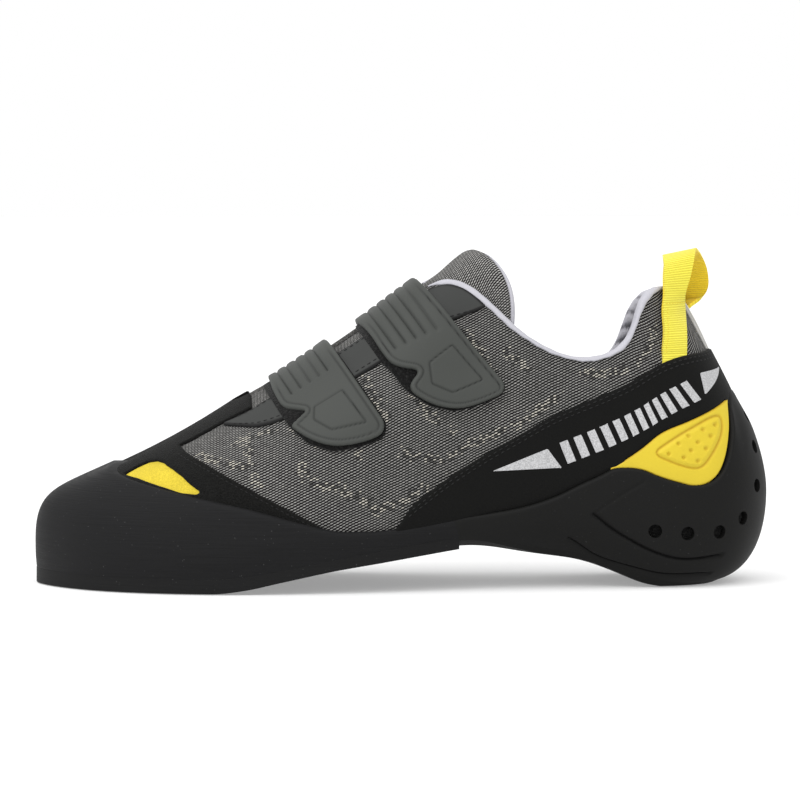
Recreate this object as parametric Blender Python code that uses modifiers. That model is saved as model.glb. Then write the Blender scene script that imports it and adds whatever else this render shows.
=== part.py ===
"""A left climbing shoe with two straps, standing empty on its sole.

The toe points to -X, the heel to +X, the outer (lateral) side faces -Y and +Z is up.
Every piece follows one last, a net of curves that runs from the sole's edge up to the
collar and throat. Tables are in millimetres and degrees, the scene is in metres.
"""

import math
from collections import namedtuple

import bmesh
import bpy
import numpy as np
from mathutils import Vector
from mathutils.bvhtree import BVHTree

MM = 0.001

# Driving sizes, in millimetres
WALL = 2.2
GAP = 0.3
RAND = 2.0
CUP = 3.0
BAND = 1.5
INSERT = 1.6
INSOLE = 3.0
TONGUE = 3.0
STRAP = 2.2
LOOP = 1.3
TOE_SWING, SWING_FROM, SWING_LENGTH, SWING_BEND = 9.0, 25.0, 150.0, 1.7
SPINE_REAR = 97.0

# One row for each section of the last, from the middle of the heel to the tip of the toe.
# side_*: the widest point; feather, tuck, turn: height, inset and wall angle of the lower edge;
# top_*: the collar or throat edge; slope: wall angle there; rise, reach: fullness of the curve
# between, as shares of its chord.
Section = namedtuple(
    "Section",
    "side_x lateral medial side_z feather tuck turn top_x top_half top_z slope rise reach",
)
SECTIONS = [
    Section(125.5, 0.0, 0.0, 31.2, 3.5, 16.9, 4, 95.8, 0.0, 102.2, 63, 0.26, 0.34),
    Section(115.7, -21.0, 20.5, 31.8, 3.5, 14.4, 6, 90.0, 14.0, 103.4, 68, 0.28, 0.34),
    Section(98.0, -29.5, 28.5, 32.4, 4.0, 12.5, 10, 82.3, 20.5, 98.4, 78, 0.30, 0.34),
    Section(84.0, -30.8, 29.3, 32.4, 7.6, 11.0, 16, 76.6, 24.0, 85.4, 80, 0.32, 0.34),
    Section(69.0, -31.2, 28.8, 32.4, 12.0, 9.5, 24, 65.0, 26.5, 79.0, 80, 0.32, 0.34),
    Section(52.0, -31.8, 28.4, 32.4, 15.8, 8.0, 34, 51.5, 27.0, 81.0, 80, 0.32, 0.34),
    Section(36.0, -33.2, 29.2, 31.4, 17.5, 6.5, 45, 38.5, 25.5, 89.0, 78, 0.32, 0.34),
    Section(20.0, -35.6, 31.2, 30.4, 18.9, 5.0, 56, 28.5, 21.5, 98.6, 68, 0.32, 0.34),
    Section(4.0, -38.4, 34.2, 28.4, 17.6, 4.0, 63, 16.5, 16.0, 105.6, 48, 0.32, 0.36),
    Section(-14.0, -41.4, 37.8, 25.5, 14.6, 3.0, 68, 1.0, 12.5, 99.6, 36, 0.33, 0.38),
    Section(-36.0, -43.4, 41.2, 21.6, 10.4, 2.6, 72, -22.0, 10.5, 83.6, 28, 0.34, 0.40),
    Section(-60.0, -42.6, 43.0, 18.6, 6.2, 2.5, 74, -43.0, 9.0, 71.0, 26, 0.34, 0.42),
    Section(-84.0, -37.0, 42.6, 17.6, 5.5, 1.8, 75, -54.0, 6.5, 65.0, 28, 0.32, 0.48),
    Section(-105.0, -25.5, 38.6, 16.4, 5.5, 1.2, 78, -57.6, 3.6, 63.4, 30, 0.28, 0.60),
    Section(-118.8, -10.0, 29.4, 15.2, 5.5, 0.7, 82, -58.4, 1.6, 63.0, 31, 0.265, 0.70),
    Section(-125.6, 9.5, 9.5, 14.8, 5.5, 0.4, 84, -58.6, 0.0, 62.9, 32, 0.255, 0.75),
]
TOE = len(SECTIONS) - 1
RING = 2 * TOE
SIDE_SHARE = 0.25
EDGE_FULLNESS, SIDE_FULLNESS = 0.4, 0.45
STEPS = 3
RUBBER_ROWS, KNIT_ROWS = 6, 5

# Share of the last at which the upper ends, lower on the inner side of the heel: ring number and share
INNER_RIM = [(22.5, 1.0), (24.2, 0.98), (25.4, 0.955), (26.6, 0.945), (28.2, 0.96), (29.3, 0.99), (30.0, 1.0)]

# Where the outsole and toe rand end and the heel cup begins, as a section number
ARCH_END = 22 / 3
ARCH_GAP = 0.03
FLOOR_ROWS = 4
FLOOR_DROP = 0.8

# Upper edge of the rubber: section number and height
RUBBER_EDGE = [
    (0.0, 66.6),
    (0.66, 63.5),
    (0.97, 53.1),
    (1.23, 44.0),
    (1.4, 39.4),
    (1.65, 36.2),
    (1.95, 35.5),
    (2.3, 36.7),
    (2.86, 39.2),
    (3.2, 41.1),
    (3.6, 41.8),
    (3.87, 41.4),
    (4.16, 39.2),
    (4.57, 36.2),
    (5.02, 32.6),
    (5.72, 29.1),
    (6.58, 26.9),
    (7.33, 25.2),
    (8.2, 22.8),
    (9.0, 21.2),
    (9.56, 21.6),
    (10.06, 24.7),
    (10.78, 29.5),
    (11.5, 33.1),
    (12.3, 36.4),
    (13.3, 39.2),
    (14.4, 41.6),
    (15.0, 42.2),
]

# Heel band: section number, lower and upper edge heights
Edge = namedtuple("Edge", "section low high")
BAND_EDGES = [
    Edge(0.0, 67.2, 81.0),
    Edge(0.6, 64.2, 80.5),
    Edge(1.4, 59.2, 79.3),
    Edge(1.8, 56.8, 77.8),
    Edge(2.6, 52.6, 73.8),
    Edge(3.2, 47.4, 70.6),
    Edge(3.9, 41.5, 66.8),
    Edge(5.0, 33.5, 60.4),
    Edge(5.9, 29.5, 53.0),
    Edge(6.4, 28.0, 48.8),
    Edge(7.3, 25.8, 40.2),
    Edge(8.1, 23.6, 31.0),
    Edge(26 / 3, 22.2, 24.0),
]
EDGE_GAP = 0.6
BAND_LEAST = 1.5
INSERT_FROM, INSERT_SPAN = 0.78, 2.82
INSERT_GAP = 0.4
INSERT_LEAST = 0.6
INSERT_COLUMNS = 14
INSERT_CLEAR = 0.05

# Height of the outsole's underside along the shoe
SOLE_LINE = [
    (-140.0, 0.0),
    (-68.0, 0.0),
    (-56.0, 1.3),
    (-44.0, 3.9),
    (-26.0, 7.6),
    (-8.0, 10.4),
    (7.0, 12.7),
    (17.0, 14.2),
    (25.0, 15.2),
]
SOLE_LIP = 0.6
SOLE_GAP = 0.45
INSOLE_SPREAD = 0.12
INSOLE_GAP = 0.8

# Tongue: sections of the throat that it lies under, then arched sections up to its rim, with ridge
# point, half width, fall to the sides and lean of the arch's plane
Arch = namedtuple("Arch", "ridge_x ridge_z half drop lean")
TONGUE_SECTIONS = [12.3, 11.7, 11.0, 10.3, 9.6, 9.0, 8.5]
TONGUE_TOE = Arch(-68.0, 53.2, 9.0, 1.0, 30)
TONGUE_ARCHES = [Arch(14.0, 108.8, 18.0, 18.0, 33), Arch(25.0, 116.0, 20.0, 25.0, 33)]
TONGUE_TUCK = 0.1
TONGUE_GAP = 1.6
TONGUE_POINTS = 11
THROAT_FULLNESS = 1.0
COVER_FROM = 7.4

# Straps: turn about the instep (0 is the ridge, negative is the outer side), front and rear edge
Turn = namedtuple("Turn", "angle front rear")
INSTEP_LEAN = 33.0
STRAP_AXIS_DEPTH = 42.0
STRAP_TURNS = {
    "strap_front": [
        Turn(-78, 9.0, 12.5),
        Turn(-76, 4.5, 14.2),
        Turn(-72, -3.0, 14.6),
        Turn(-63, -9.0, 15.0),
        Turn(-54, -11.5, 15.0),
        Turn(-49, -6.0, 15.0),
        Turn(-43, -10.5, 15.0),
        Turn(-36, -11.5, 14.9),
        Turn(0, -11.0, 14.0),
        Turn(45, -11.0, 13.0),
        Turn(88, -11.0, 12.5),
    ],
    "strap_rear": [
        Turn(-100, 9.5, 15.0),
        Turn(-96, 5.0, 16.8),
        Turn(-90, -2.2, 16.8),
        Turn(-79, -8.0, 16.0),
        Turn(-68, -10.5, 15.3),
        Turn(-62.5, -6.6, 15.0),
        Turn(-55, -11.0, 14.5),
        Turn(-46, -12.0, 14.0),
        Turn(0, -13.0, 12.5),
        Turn(45, -12.5, 12.5),
        Turn(90, -12.0, 12.0),
    ],
}
STRAP_GAP = 0.9
STRAP_RIDGES = {"strap_front": (-38.0, 76.0), "strap_rear": (-5.5, 99.0)}

# Pull loop: rear and front edge of each leg as section numbers, and tape above the rim with the heading
# of its width in plan, its tilt and width
Leg = namedtuple("Leg", "rear front height")
Tape = namedtuple("Tape", "x y z heading tilt width")
LOOP_OUTER_LEG = [Leg(1.14, 1.8, 82.6), Leg(0.96, 1.62, 88.0), Leg(0.62, 1.42, 95.0)]
LOOP_INNER_LEG = [Leg(0.5, 1.18, 82.6), Leg(0.4, 1.08, 88.0), Leg(0.16, 0.86, 93.6)]
LOOP_GAP = 0.9
LOOP_TOP = [
    Tape(94.4, -16.8, 101.0, 32, 0, 9.2),
    Tape(95.2, -16.2, 107.0, 24, 4, 10.8),
    Tape(96.0, -14.2, 112.4, 18, 9, 11.8),
    Tape(96.4, -10.6, 115.0, 10, 11, 12.2),
    Tape(97.2, -6.0, 115.6, 4, 11, 12.2),
    Tape(99.6, -0.5, 113.4, 0, 8, 12.2),
    Tape(102.2, 3.5, 108.6, -4, 4, 12.0),
    Tape(103.2, 6.4, 102.8, -14, 0, 11.6),
    Tape(101.8, 9.2, 98.2, -30, 0, 10.6),
]


# Curves and the last


def unit(vectors):
    return vectors / np.linalg.norm(vectors, axis=-1, keepdims=True)


def ring_slopes(values):
    """Slopes of the smooth closed curve through evenly numbered values."""
    n = len(values)
    matrix = 4 * np.eye(n) + np.roll(np.eye(n), 1, axis=1) + np.roll(np.eye(n), -1, axis=1)
    rise = 3 * (np.roll(values, -1, axis=0) - np.roll(values, 1, axis=0))
    return np.linalg.solve(matrix, rise.reshape(n, -1)).reshape(values.shape)


def ring_value(values, slopes, t):
    """The closed curve at section numbers t."""
    n = len(values)
    first = np.floor(t).astype(int)
    u = (t - first).reshape((-1,) + (1,) * (values.ndim - 1))
    a, b = first % n, (first + 1) % n
    near = values[a] * (1 + 2 * u) * (1 - u) ** 2 + slopes[a] * u * (1 - u) ** 2
    far = values[b] * u**2 * (3 - 2 * u) + slopes[b] * u**2 * (u - 1)
    return near + far


def bezier(points, u):
    """Cubic curves with control points (n, 4, 3) at u (n)."""
    u = u[:, None]
    weights = [(1 - u) ** 3, 3 * u * (1 - u) ** 2, 3 * u**2 * (1 - u), u**3]
    return sum(weight * points[:, k] for k, weight in enumerate(weights))


def smooth_line(positions, rows, at):
    """A smooth open curve through rows of numbers, with no overshoot between them."""
    rows = np.asarray(rows, float)
    positions = np.asarray(positions, float)
    steps = np.diff(positions)[:, None]
    chords = np.diff(rows, axis=0) / steps
    slopes = np.vstack([chords[:1], (chords[1:] + chords[:-1]) / 2, chords[-1:]])
    same_way = chords[1:] * chords[:-1] > 0
    slopes[1:-1] = np.where(same_way, slopes[1:-1], 0.0)
    cell = np.clip(np.searchsorted(positions, at) - 1, 0, len(positions) - 2)
    h = steps[cell]
    u = ((np.asarray(at, float) - positions[cell]) / h[:, 0])[:, None]
    near = rows[cell] * (1 + 2 * u) * (1 - u) ** 2 + slopes[cell] * h * u * (1 - u) ** 2
    far = rows[cell + 1] * u**2 * (3 - 2 * u) + slopes[cell + 1] * h * u**2 * (u - 1)
    return near + far


def centre_y(x):
    """Middle of the last, which swings to the big toe in front of the instep."""
    return TOE_SWING * (max(0.0, SWING_FROM - x) / SWING_LENGTH) ** SWING_BEND


def section_net(row, side_y, sign):
    """Control points of one section: four for the lower curve and three more for the upper one."""
    side = np.array([row.side_x, side_y, row.side_z])
    top = np.array([row.top_x, centre_y(row.top_x) + sign * row.top_half, row.top_z])
    up = np.array([0.0, 0.0, 1.0])
    inward = unit((top - side) * [1.0, 1.0, 0.0])
    edge = side + inward * row.tuck + up * (row.feather - row.side_z)
    turn, slope = math.radians(row.turn), math.radians(row.slope)
    lower = row.side_z - row.feather
    edge_handle = EDGE_FULLNESS * math.hypot(row.tuck, lower)
    chord = np.linalg.norm(top - side)
    leave = edge + edge_handle * (up * math.sin(turn) - inward * math.cos(turn))
    below = side - up * SIDE_FULLNESS * lower
    above = side + up * row.rise * chord
    arrive = top - row.reach * chord * (inward * math.cos(slope) + up * math.sin(slope))
    return [edge, leave, below, side, above, arrive, top]


def ring_rows():
    """The sections as a closed ring: the outer side from heel to toe, then the inner side back."""
    outer = [(number, SECTIONS[number].lateral, -1) for number in range(TOE + 1)]
    inner = [(number, SECTIONS[number].medial, 1) for number in range(TOE - 1, 0, -1)]
    return outer + inner


NET = np.array([section_net(SECTIONS[n], side_y, sign) for n, side_y, sign in ring_rows()])
NET_SLOPES = ring_slopes(NET)


def last_point(t, s):
    """Point of the last at section number t and share s of the way from lower edge to top."""
    net = ring_value(NET, NET_SLOPES, t)
    low = bezier(net[:, 0:4], np.minimum(s / SIDE_SHARE, 1.0))
    high = bezier(net[:, 3:7], np.clip((s - SIDE_SHARE) / (1 - SIDE_SHARE), 0.0, 1.0))
    return np.where((s < SIDE_SHARE)[:, None], low, high)


def last_normal(t, s):
    """Outward direction of the last."""
    step = 1e-3
    along = last_point(t + step, s) - last_point(t - step, s)
    rise = last_point(t, np.minimum(s + step, 1.0)) - last_point(t, np.maximum(s - step, 0.0))
    return unit(np.cross(rise, along))


def last_offset(t, s, distance):
    return last_point(t, s) + last_normal(t, s) * np.reshape(distance, (-1, 1))


def share_at_height(t, z):
    """Share s at which section t reaches the height z."""
    shares = np.linspace(0.0, 1.0, 129)
    found = np.empty(len(t))
    for k, (one_t, one_z) in enumerate(zip(t, z)):
        heights = last_point(np.full(len(shares), one_t), shares)[:, 2]
        found[k] = np.interp(one_z, heights, shares)
    return found


def section_number(t):
    """Distance round the ring from the heel's middle, the same on both sides."""
    t = np.mod(t, RING)
    return np.minimum(t, RING - t)


def rubber_height(t):
    sections = [section for section, _ in RUBBER_EDGE]
    heights = [(height,) for _, height in RUBBER_EDGE]
    return smooth_line(sections, heights, section_number(t))[:, 0]


def rim_share(t):
    """Share at which the upper ends: the top of the last, a little lower inside the heel."""
    sections = [section for section, _ in INNER_RIM]
    shares = [(share,) for _, share in INNER_RIM]
    return smooth_line(sections, shares, np.maximum(np.mod(t, RING), sections[0]))[:, 0]


def rubber_rows(b):
    """Share of the rubber's height at b from top to bottom, with closer rows at the lower corner."""
    return np.clip(1 - b, 0.0, 1.0) ** 1.5


def rubber_share(t):
    return share_at_height(t, rubber_height(t))


def spine_point(t):
    """Middle of the shoe's lower edges at section t, stopping short of the back of the heel."""
    low = np.zeros_like(t)
    point = (last_point(t, low) + last_point(RING - t, low)) / 2
    point[:, 0] = np.minimum(point[:, 0], SPINE_REAR)
    return point


# Objects and materials


def clear_scene():
    for obj in list(bpy.data.objects):
        bpy.data.objects.remove(obj, do_unlink=True)


def finish(name, colour, roughness):
    made = bpy.data.materials.new(name)
    made.use_nodes = True
    shader = made.node_tree.nodes["Principled BSDF"]
    shader.inputs["Base Color"].default_value = (*colour, 1.0)
    shader.inputs["Roughness"].default_value = roughness
    shader.inputs["Metallic"].default_value = 0.0
    return made


def collection(name):
    made = bpy.data.collections.new(name)
    bpy.context.scene.collection.children.link(made)
    return made


def sheet_mesh(columns, rows, place, weld=0.02):
    """A grid laid out by place(a, b), where a and b run from 0 to 1 along columns and rows."""
    bm = bmesh.new()
    bmesh.ops.create_grid(bm, x_segments=columns, y_segments=rows, size=0.5)
    a = np.array([v.co.x + 0.5 for v in bm.verts])
    b = np.array([v.co.y + 0.5 for v in bm.verts])
    for v, point in zip(bm.verts, place(a, b)):
        v.co = Vector(point * MM)
    bmesh.ops.remove_doubles(bm, verts=bm.verts, dist=weld * MM)
    return bm


def shell(name, group, look, bm, thickness):
    """An object from an open sheet, with its thickness on the inner side."""
    mesh = bpy.data.meshes.new(name)
    bm.to_mesh(mesh)
    bm.free()
    mesh.shade_smooth()
    mesh.materials.append(look)
    obj = bpy.data.objects.new(name, mesh)
    group.objects.link(obj)
    wall = obj.modifiers.new("Thickness", "SOLIDIFY")
    wall.thickness = thickness * MM
    wall.offset = -1.0
    return obj


# Pieces on the last


def upper(group, look):
    """Hollow knit upper, open at the collar and throat and underneath."""
    rows = RUBBER_ROWS + KNIT_ROWS
    line = KNIT_ROWS / rows

    def place(a, b):
        t = a * RING
        edge = rubber_share(t)
        rim = rim_share(t)
        above = rim + (edge - rim) * b / line
        below = edge * rubber_rows((b - line) / (1 - line))
        return last_point(t, np.where(b <= line, above, below))

    shell("upper", group, look, sheet_mesh(RING * STEPS, rows, place), WALL)


def toe_rand(group, look):
    """Rubber wall round the forefoot, from the outsole up to the toe cap's edge."""
    columns = round((RING - 2 * ARCH_END) * STEPS)

    def place(a, b):
        t = ARCH_END + a * (RING - 2 * ARCH_END)
        return last_offset(t, rubber_share(t) * rubber_rows(b), GAP + RAND)

    shell("toe_rand", group, look, sheet_mesh(columns, RUBBER_ROWS, place), RAND)


def heel_cup(group, look):
    """Moulded rubber heel and arch: a wall round the heel and a floor under it."""
    rows = RUBBER_ROWS + FLOOR_ROWS
    line = RUBBER_ROWS / rows
    end = ARCH_END - ARCH_GAP
    outer = GAP + CUP

    def place(a, b):
        t = (2 * a - 1) * end
        wall = last_offset(t, rubber_share(t) * rubber_rows(b / line), outer)
        inwards = np.clip((b - line) / (1 - line), 0.0, 1.0)[:, None]
        floor = last_point(t, np.zeros_like(t)) * (1 - inwards) + spine_point(t) * inwards
        floor[:, 2] -= outer
        points = np.where(inwards < 0.5 / FLOOR_ROWS, wall, floor)
        points[:, 2] -= np.where(b > line - 0.5 / rows, FLOOR_DROP, 0.0)
        points[:, 2] = np.maximum(points[:, 2], 0.0)
        return points

    bm = sheet_mesh(round(2 * ARCH_END * STEPS), rows, place, weld=0.9)
    shell("heel_cup", group, look, bm, CUP)


def band_edges(t):
    """Lower and upper edge heights of the heel band, the lower one clear of the rubber."""
    sections = [edge.section for edge in BAND_EDGES]
    heights = [(edge.low, edge.high) for edge in BAND_EDGES]
    low, high = smooth_line(sections, heights, section_number(t)).T
    low = np.maximum(low, rubber_height(t) + EDGE_GAP)
    return low, np.maximum(high, low + BAND_LEAST)


def heel_band(group, look):
    """Tension band from the arch up round the back of the heel."""
    end = BAND_EDGES[-1].section

    def place(a, b):
        t = (2 * a - 1) * end
        low, high = band_edges(t)
        return last_offset(t, share_at_height(t, high + (low - high) * b), GAP + BAND)

    shell("heel_band", group, look, sheet_mesh(round(2 * end * STEPS), 4, place), BAND)


def heel_insert(name, group, look, first):
    """Moulded insert between heel cup and band, from the section number first."""

    def place(a, b):
        t = first + a * INSERT_SPAN
        beside = [rubber_height(t + step) for step in (-INSERT_CLEAR, 0.0, INSERT_CLEAR)]
        low = np.max(beside, axis=0) + EDGE_GAP
        high = np.maximum(band_edges(t)[0] - EDGE_GAP, low + INSERT_LEAST)
        return last_offset(t, share_at_height(t, high + (low - high) * b), INSERT_GAP + INSERT)

    shell(name, group, look, sheet_mesh(INSERT_COLUMNS, 3, place), INSERT)


# Sole pieces


def slab(name, group, look, bm, under):
    """A solid from a sheet down to the heights under(points)."""
    grown = bmesh.ops.extrude_face_region(bm, geom=bm.faces[:], use_keep_orig=True)
    lower = [v for v in grown["geom"] if isinstance(v, bmesh.types.BMVert)]
    points = np.array([v.co / MM for v in lower])
    for v, height in zip(lower, under(points)):
        v.co.z = height * MM
    bmesh.ops.recalc_face_normals(bm, faces=bm.faces)
    mesh = bpy.data.meshes.new(name)
    bm.to_mesh(mesh)
    bm.free()
    mesh.materials.append(look)
    group.objects.link(bpy.data.objects.new(name, mesh))


def across(edge, t, b):
    """Points on straight lines from the outer edge at t to the inner edge at the same section."""
    return edge(t) * (1 - b)[:, None] + edge(RING - t) * b[:, None]


def sole_height(x):
    """Height of the outsole's underside: flat under the forefoot, rising into the arch."""
    return smooth_line([x for x, _ in SOLE_LINE], [(z,) for _, z in SOLE_LINE], x)[:, 0]


def outsole(group, look):
    """Front outsole with a flat tread face, ending under the arch."""
    rim_rows, floor_rows = 1, 4
    rows = 2 * rim_rows + floor_rows
    rim = rim_rows / rows

    def place(a, b):
        t = ARCH_END + a * (TOE - ARCH_END)
        inner = np.clip((b - rim) / (1 - 2 * rim), 0.0, 1.0)

        def seat(at):
            return last_point(at, np.zeros_like(at))

        def outline(at):
            out = last_normal(at, np.zeros_like(at))
            return seat(at) + out * (GAP + RAND) + unit(out * [1.0, 1.0, 0.0]) * SOLE_LIP

        points = across(seat, t, inner)
        points = np.where((b < rim / 2)[:, None], outline(t), points)
        points = np.where((b > 1 - rim / 2)[:, None], outline(RING - t), points)
        points[:, 2] -= SOLE_GAP
        return points

    bm = sheet_mesh(round((TOE - ARCH_END) * STEPS), rows, place)
    slab("outsole", group, look, bm, lambda points: sole_height(points[:, 0]))


def insole(group, look):
    """Footbed inside the upper."""

    def edge(t):
        flat = last_normal(t, np.zeros_like(t))[:, 2] ** 2
        return last_offset(t, INSOLE_SPREAD * flat, -(WALL + INSOLE_GAP))

    def place(a, b):
        points = across(edge, a * TOE, b)
        points[:, 2] += INSOLE
        return points

    bm = sheet_mesh(TOE * 2, 4, place)
    slab("insole", group, look, bm, lambda points: points[:, 2] - INSOLE)


# Pieces over the instep


def throat_curve(t, share, depth):
    """Curve over the throat at section t, from share below the outer edge to share below the inner edge."""
    count = (TONGUE_POINTS - 1) // 5
    under = np.linspace(1 - share, 1, count, endpoint=False)
    outer = last_offset(np.full(count, t), under, np.full(count, -depth))
    inner = last_offset(np.full(count, RING - t), under[::-1], np.full(count, -depth))
    ends, slopes = [], []
    for at in (t, RING - t):
        at = np.array([at])
        ends.append(last_offset(at, np.ones(1), [-depth])[0])
        slopes.append(unit(last_point(at, np.ones(1)) - last_point(at, np.full(1, 0.98)))[0])
    span = np.linalg.norm(ends[1] - ends[0]) * THROAT_FULLNESS
    u = np.linspace(0, 1, TONGUE_POINTS - 2 * count)[:, None]
    near = ends[0] * (1 + 2 * u) * (1 - u) ** 2 + slopes[0] * span * u * (1 - u) ** 2
    far = ends[1] * u**2 * (3 - 2 * u) - slopes[1] * span * u**2 * (u - 1)
    return np.vstack([outer, near + far, inner])


def arch_curve(arch):
    """Arched curve that leans back from its ridge point."""
    theta = np.linspace(-math.pi / 2, math.pi / 2, TONGUE_POINTS)
    fall = arch.drop * (1 - np.cos(theta))
    lean = math.radians(arch.lean)
    x = arch.ridge_x + fall * math.sin(lean)
    z = arch.ridge_z - fall * math.cos(lean)
    return np.column_stack([x, arch.half * np.sin(theta), z])


def loft(curves, columns):
    """A sheet through a row of curves that hold the same number of points."""
    rows = np.array(curves)
    count, width = rows.shape[:2]

    def place(a, b):
        swept = smooth_line(np.arange(count), rows.reshape(count, -1), a * (count - 1))
        return swept.reshape(-1, width, 3)[np.arange(len(a)), np.rint(b * (width - 1)).astype(int)]

    return sheet_mesh(columns, width - 1, place)


def tongue(group, look):
    """Padded tongue under the throat, its rim standing above the collar."""
    depth = WALL + TONGUE_GAP
    curves = [arch_curve(TONGUE_TOE)]
    curves += [throat_curve(t, TONGUE_TUCK, depth) for t in TONGUE_SECTIONS]
    curves += [arch_curve(arch) for arch in TONGUE_ARCHES]
    shell("tongue", group, look, loft(curves, 2 * (len(curves) - 1)), TONGUE)


def instep_guide():
    """The last with its throat covered, to lay the straps on."""
    rows = 24

    def wall(a, b):
        return last_point(a * RING, 1 - b)

    def cover(a, b):
        points = []
        for one_a, one_b in zip(a, b):
            curve = throat_curve(COVER_FROM + one_a * (TOE - COVER_FROM), 0.0, 0.0)
            points.append(curve[round(one_b * (TONGUE_POINTS - 1))])
        return np.array(points)

    bm = sheet_mesh(RING * STEPS * 2, rows, wall)
    covering = sheet_mesh(40, TONGUE_POINTS - 1, cover)
    spare = bpy.data.meshes.new("cover")
    covering.to_mesh(spare)
    covering.free()
    bm.from_mesh(spare)
    bpy.data.meshes.remove(spare)
    tree = BVHTree.FromBMesh(bm)
    bm.free()
    return tree


def strap(name, group, look, tree):
    """Closure strap laid over the instep, from its anchor inside to its tab outside."""
    lean = math.radians(INSTEP_LEAN)
    along = np.array([math.cos(lean), 0.0, math.sin(lean)])
    out = np.array([-math.sin(lean), 0.0, math.cos(lean)])
    ridge_x, ridge_z = STRAP_RIDGES[name]
    axis = np.array([ridge_x, 0.0, ridge_z]) - out * STRAP_AXIS_DEPTH
    turns = STRAP_TURNS[name]
    angles = [turn.angle for turn in turns]
    edges = [(turn.front, turn.rear) for turn in turns]

    def place(a, b):
        angle = angles[0] + b * (angles[-1] - angles[0])
        front, rear = smooth_line(angles, edges, angle).T
        across_strap = front + (rear - front) * a
        points = []
        for one_angle, shift in zip(np.radians(angle), across_strap):
            start = Vector((axis + along * shift) * MM)
            aim = Vector(out * math.cos(one_angle) + np.array([0.0, math.sin(one_angle), 0.0]))
            hit, normal, _, _ = tree.ray_cast(start, aim)
            outward = normal if normal.dot(aim) > 0 else -normal
            points.append(np.array(hit) / MM + np.array(outward) * (STRAP_GAP + STRAP))
        return np.array(points)

    shell(name, group, look, sheet_mesh(4, 28, place), STRAP)


def pull_loop(group, look):
    """Heel tape: a leg on each side of the heel and a loop above the rim."""
    points = 3

    def on_heel(leg, sign):
        t = sign * np.linspace(leg.rear, leg.front, points)
        return last_offset(t, share_at_height(t, np.full(points, leg.height)), LOOP_GAP + LOOP)

    def above_rim(tape):
        heading, tilt = math.radians(tape.heading), math.radians(tape.tilt)
        shift = np.linspace(tape.width / 2, -tape.width / 2, points)[:, None]
        level = math.cos(tilt)
        width = [math.cos(heading) * level, math.sin(heading) * level, math.sin(tilt)]
        return np.array(tape[:3]) + shift * width

    ribs = [on_heel(leg, 1) for leg in LOOP_OUTER_LEG]
    ribs += [above_rim(tape) for tape in LOOP_TOP]
    ribs += [on_heel(leg, -1) for leg in reversed(LOOP_INNER_LEG)]
    shell("pull_loop", group, look, loft(ribs, 3 * (len(ribs) - 1)), LOOP)


def main():
    clear_scene()
    shoe = collection("climbing_shoe")
    upper(shoe, finish("upper_knit", (0.3, 0.31, 0.33), 0.9))
    toe_rand(shoe, finish("rand_rubber", (0.022, 0.022, 0.024), 0.6))
    heel_cup(shoe, finish("heel_rubber", (0.022, 0.022, 0.024), 0.6))
    outsole(shoe, finish("sole_rubber", (0.02, 0.02, 0.022), 0.65))
    heel_band(shoe, finish("band_rubber", (0.015, 0.015, 0.017), 0.7))
    inserts = {"heel_insert_outer": INSERT_FROM, "heel_insert_inner": RING - INSERT_FROM - INSERT_SPAN}
    for name, first in inserts.items():
        heel_insert(name, shoe, finish(name + "_rubber", (0.9, 0.75, 0.06), 0.5), first)
    insole(shoe, finish("insole_foam", (0.07, 0.07, 0.08), 0.95))
    tongue(shoe, finish("tongue_knit", (0.25, 0.26, 0.28), 0.9))
    tree = instep_guide()
    for name in STRAP_TURNS:
        strap(name, shoe, finish(name + "_rubber", (0.07, 0.075, 0.075), 0.55), tree)
    pull_loop(shoe, finish("loop_webbing", (0.9, 0.75, 0.06), 0.85))


main()
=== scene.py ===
"""Looks of a left climbing shoe with two straps.

The toe points to -X, the heel to +X, the outer side faces -Y. Every piece follows the same last as the
solids: section numbers run round the shoe, shares run from the sole's edge up to the collar and throat.
Tables are in millimetres and degrees, the scene is in metres.
"""

import functools
import math
from collections import namedtuple

import bmesh
import bpy
import numpy as np
from mathutils import Matrix, Vector
from mathutils.bvhtree import BVHTree


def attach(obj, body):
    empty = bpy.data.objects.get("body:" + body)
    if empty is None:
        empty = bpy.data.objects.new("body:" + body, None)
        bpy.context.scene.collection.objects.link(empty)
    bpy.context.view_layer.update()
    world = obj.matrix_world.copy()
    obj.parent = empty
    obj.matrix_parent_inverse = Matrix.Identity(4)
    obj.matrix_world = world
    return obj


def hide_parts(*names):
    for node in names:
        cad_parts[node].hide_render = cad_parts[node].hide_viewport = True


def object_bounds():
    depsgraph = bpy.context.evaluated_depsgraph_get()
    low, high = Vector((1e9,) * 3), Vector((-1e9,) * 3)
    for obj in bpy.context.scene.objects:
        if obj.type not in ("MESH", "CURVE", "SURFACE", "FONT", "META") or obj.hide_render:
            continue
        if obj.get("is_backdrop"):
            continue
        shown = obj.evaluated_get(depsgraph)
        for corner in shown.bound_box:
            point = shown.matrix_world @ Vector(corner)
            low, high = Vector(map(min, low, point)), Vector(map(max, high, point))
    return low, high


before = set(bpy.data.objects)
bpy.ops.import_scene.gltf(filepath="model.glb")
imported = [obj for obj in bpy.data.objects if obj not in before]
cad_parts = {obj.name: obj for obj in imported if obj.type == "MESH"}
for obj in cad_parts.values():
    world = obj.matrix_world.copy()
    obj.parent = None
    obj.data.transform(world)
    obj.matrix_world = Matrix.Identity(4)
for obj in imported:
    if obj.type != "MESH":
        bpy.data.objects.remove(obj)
CAD_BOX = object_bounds()

MM = 0.001
SIDES = (("outer", -1), ("inner", 1))

# Sizes shared with the solids
WALL, GAP, RAND, CUP, BAND = 2.2, 0.3, 2.0, 3.0, 1.5
INSERT, INSOLE, TONGUE, STRAP, LOOP = 1.6, 3.0, 3.0, 1.9, 1.3
TOE_SWING, SWING_FROM, SWING_LENGTH, SWING_BEND = 9.0, 25.0, 150.0, 1.7
SPINE_REAR = 97.0

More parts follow.
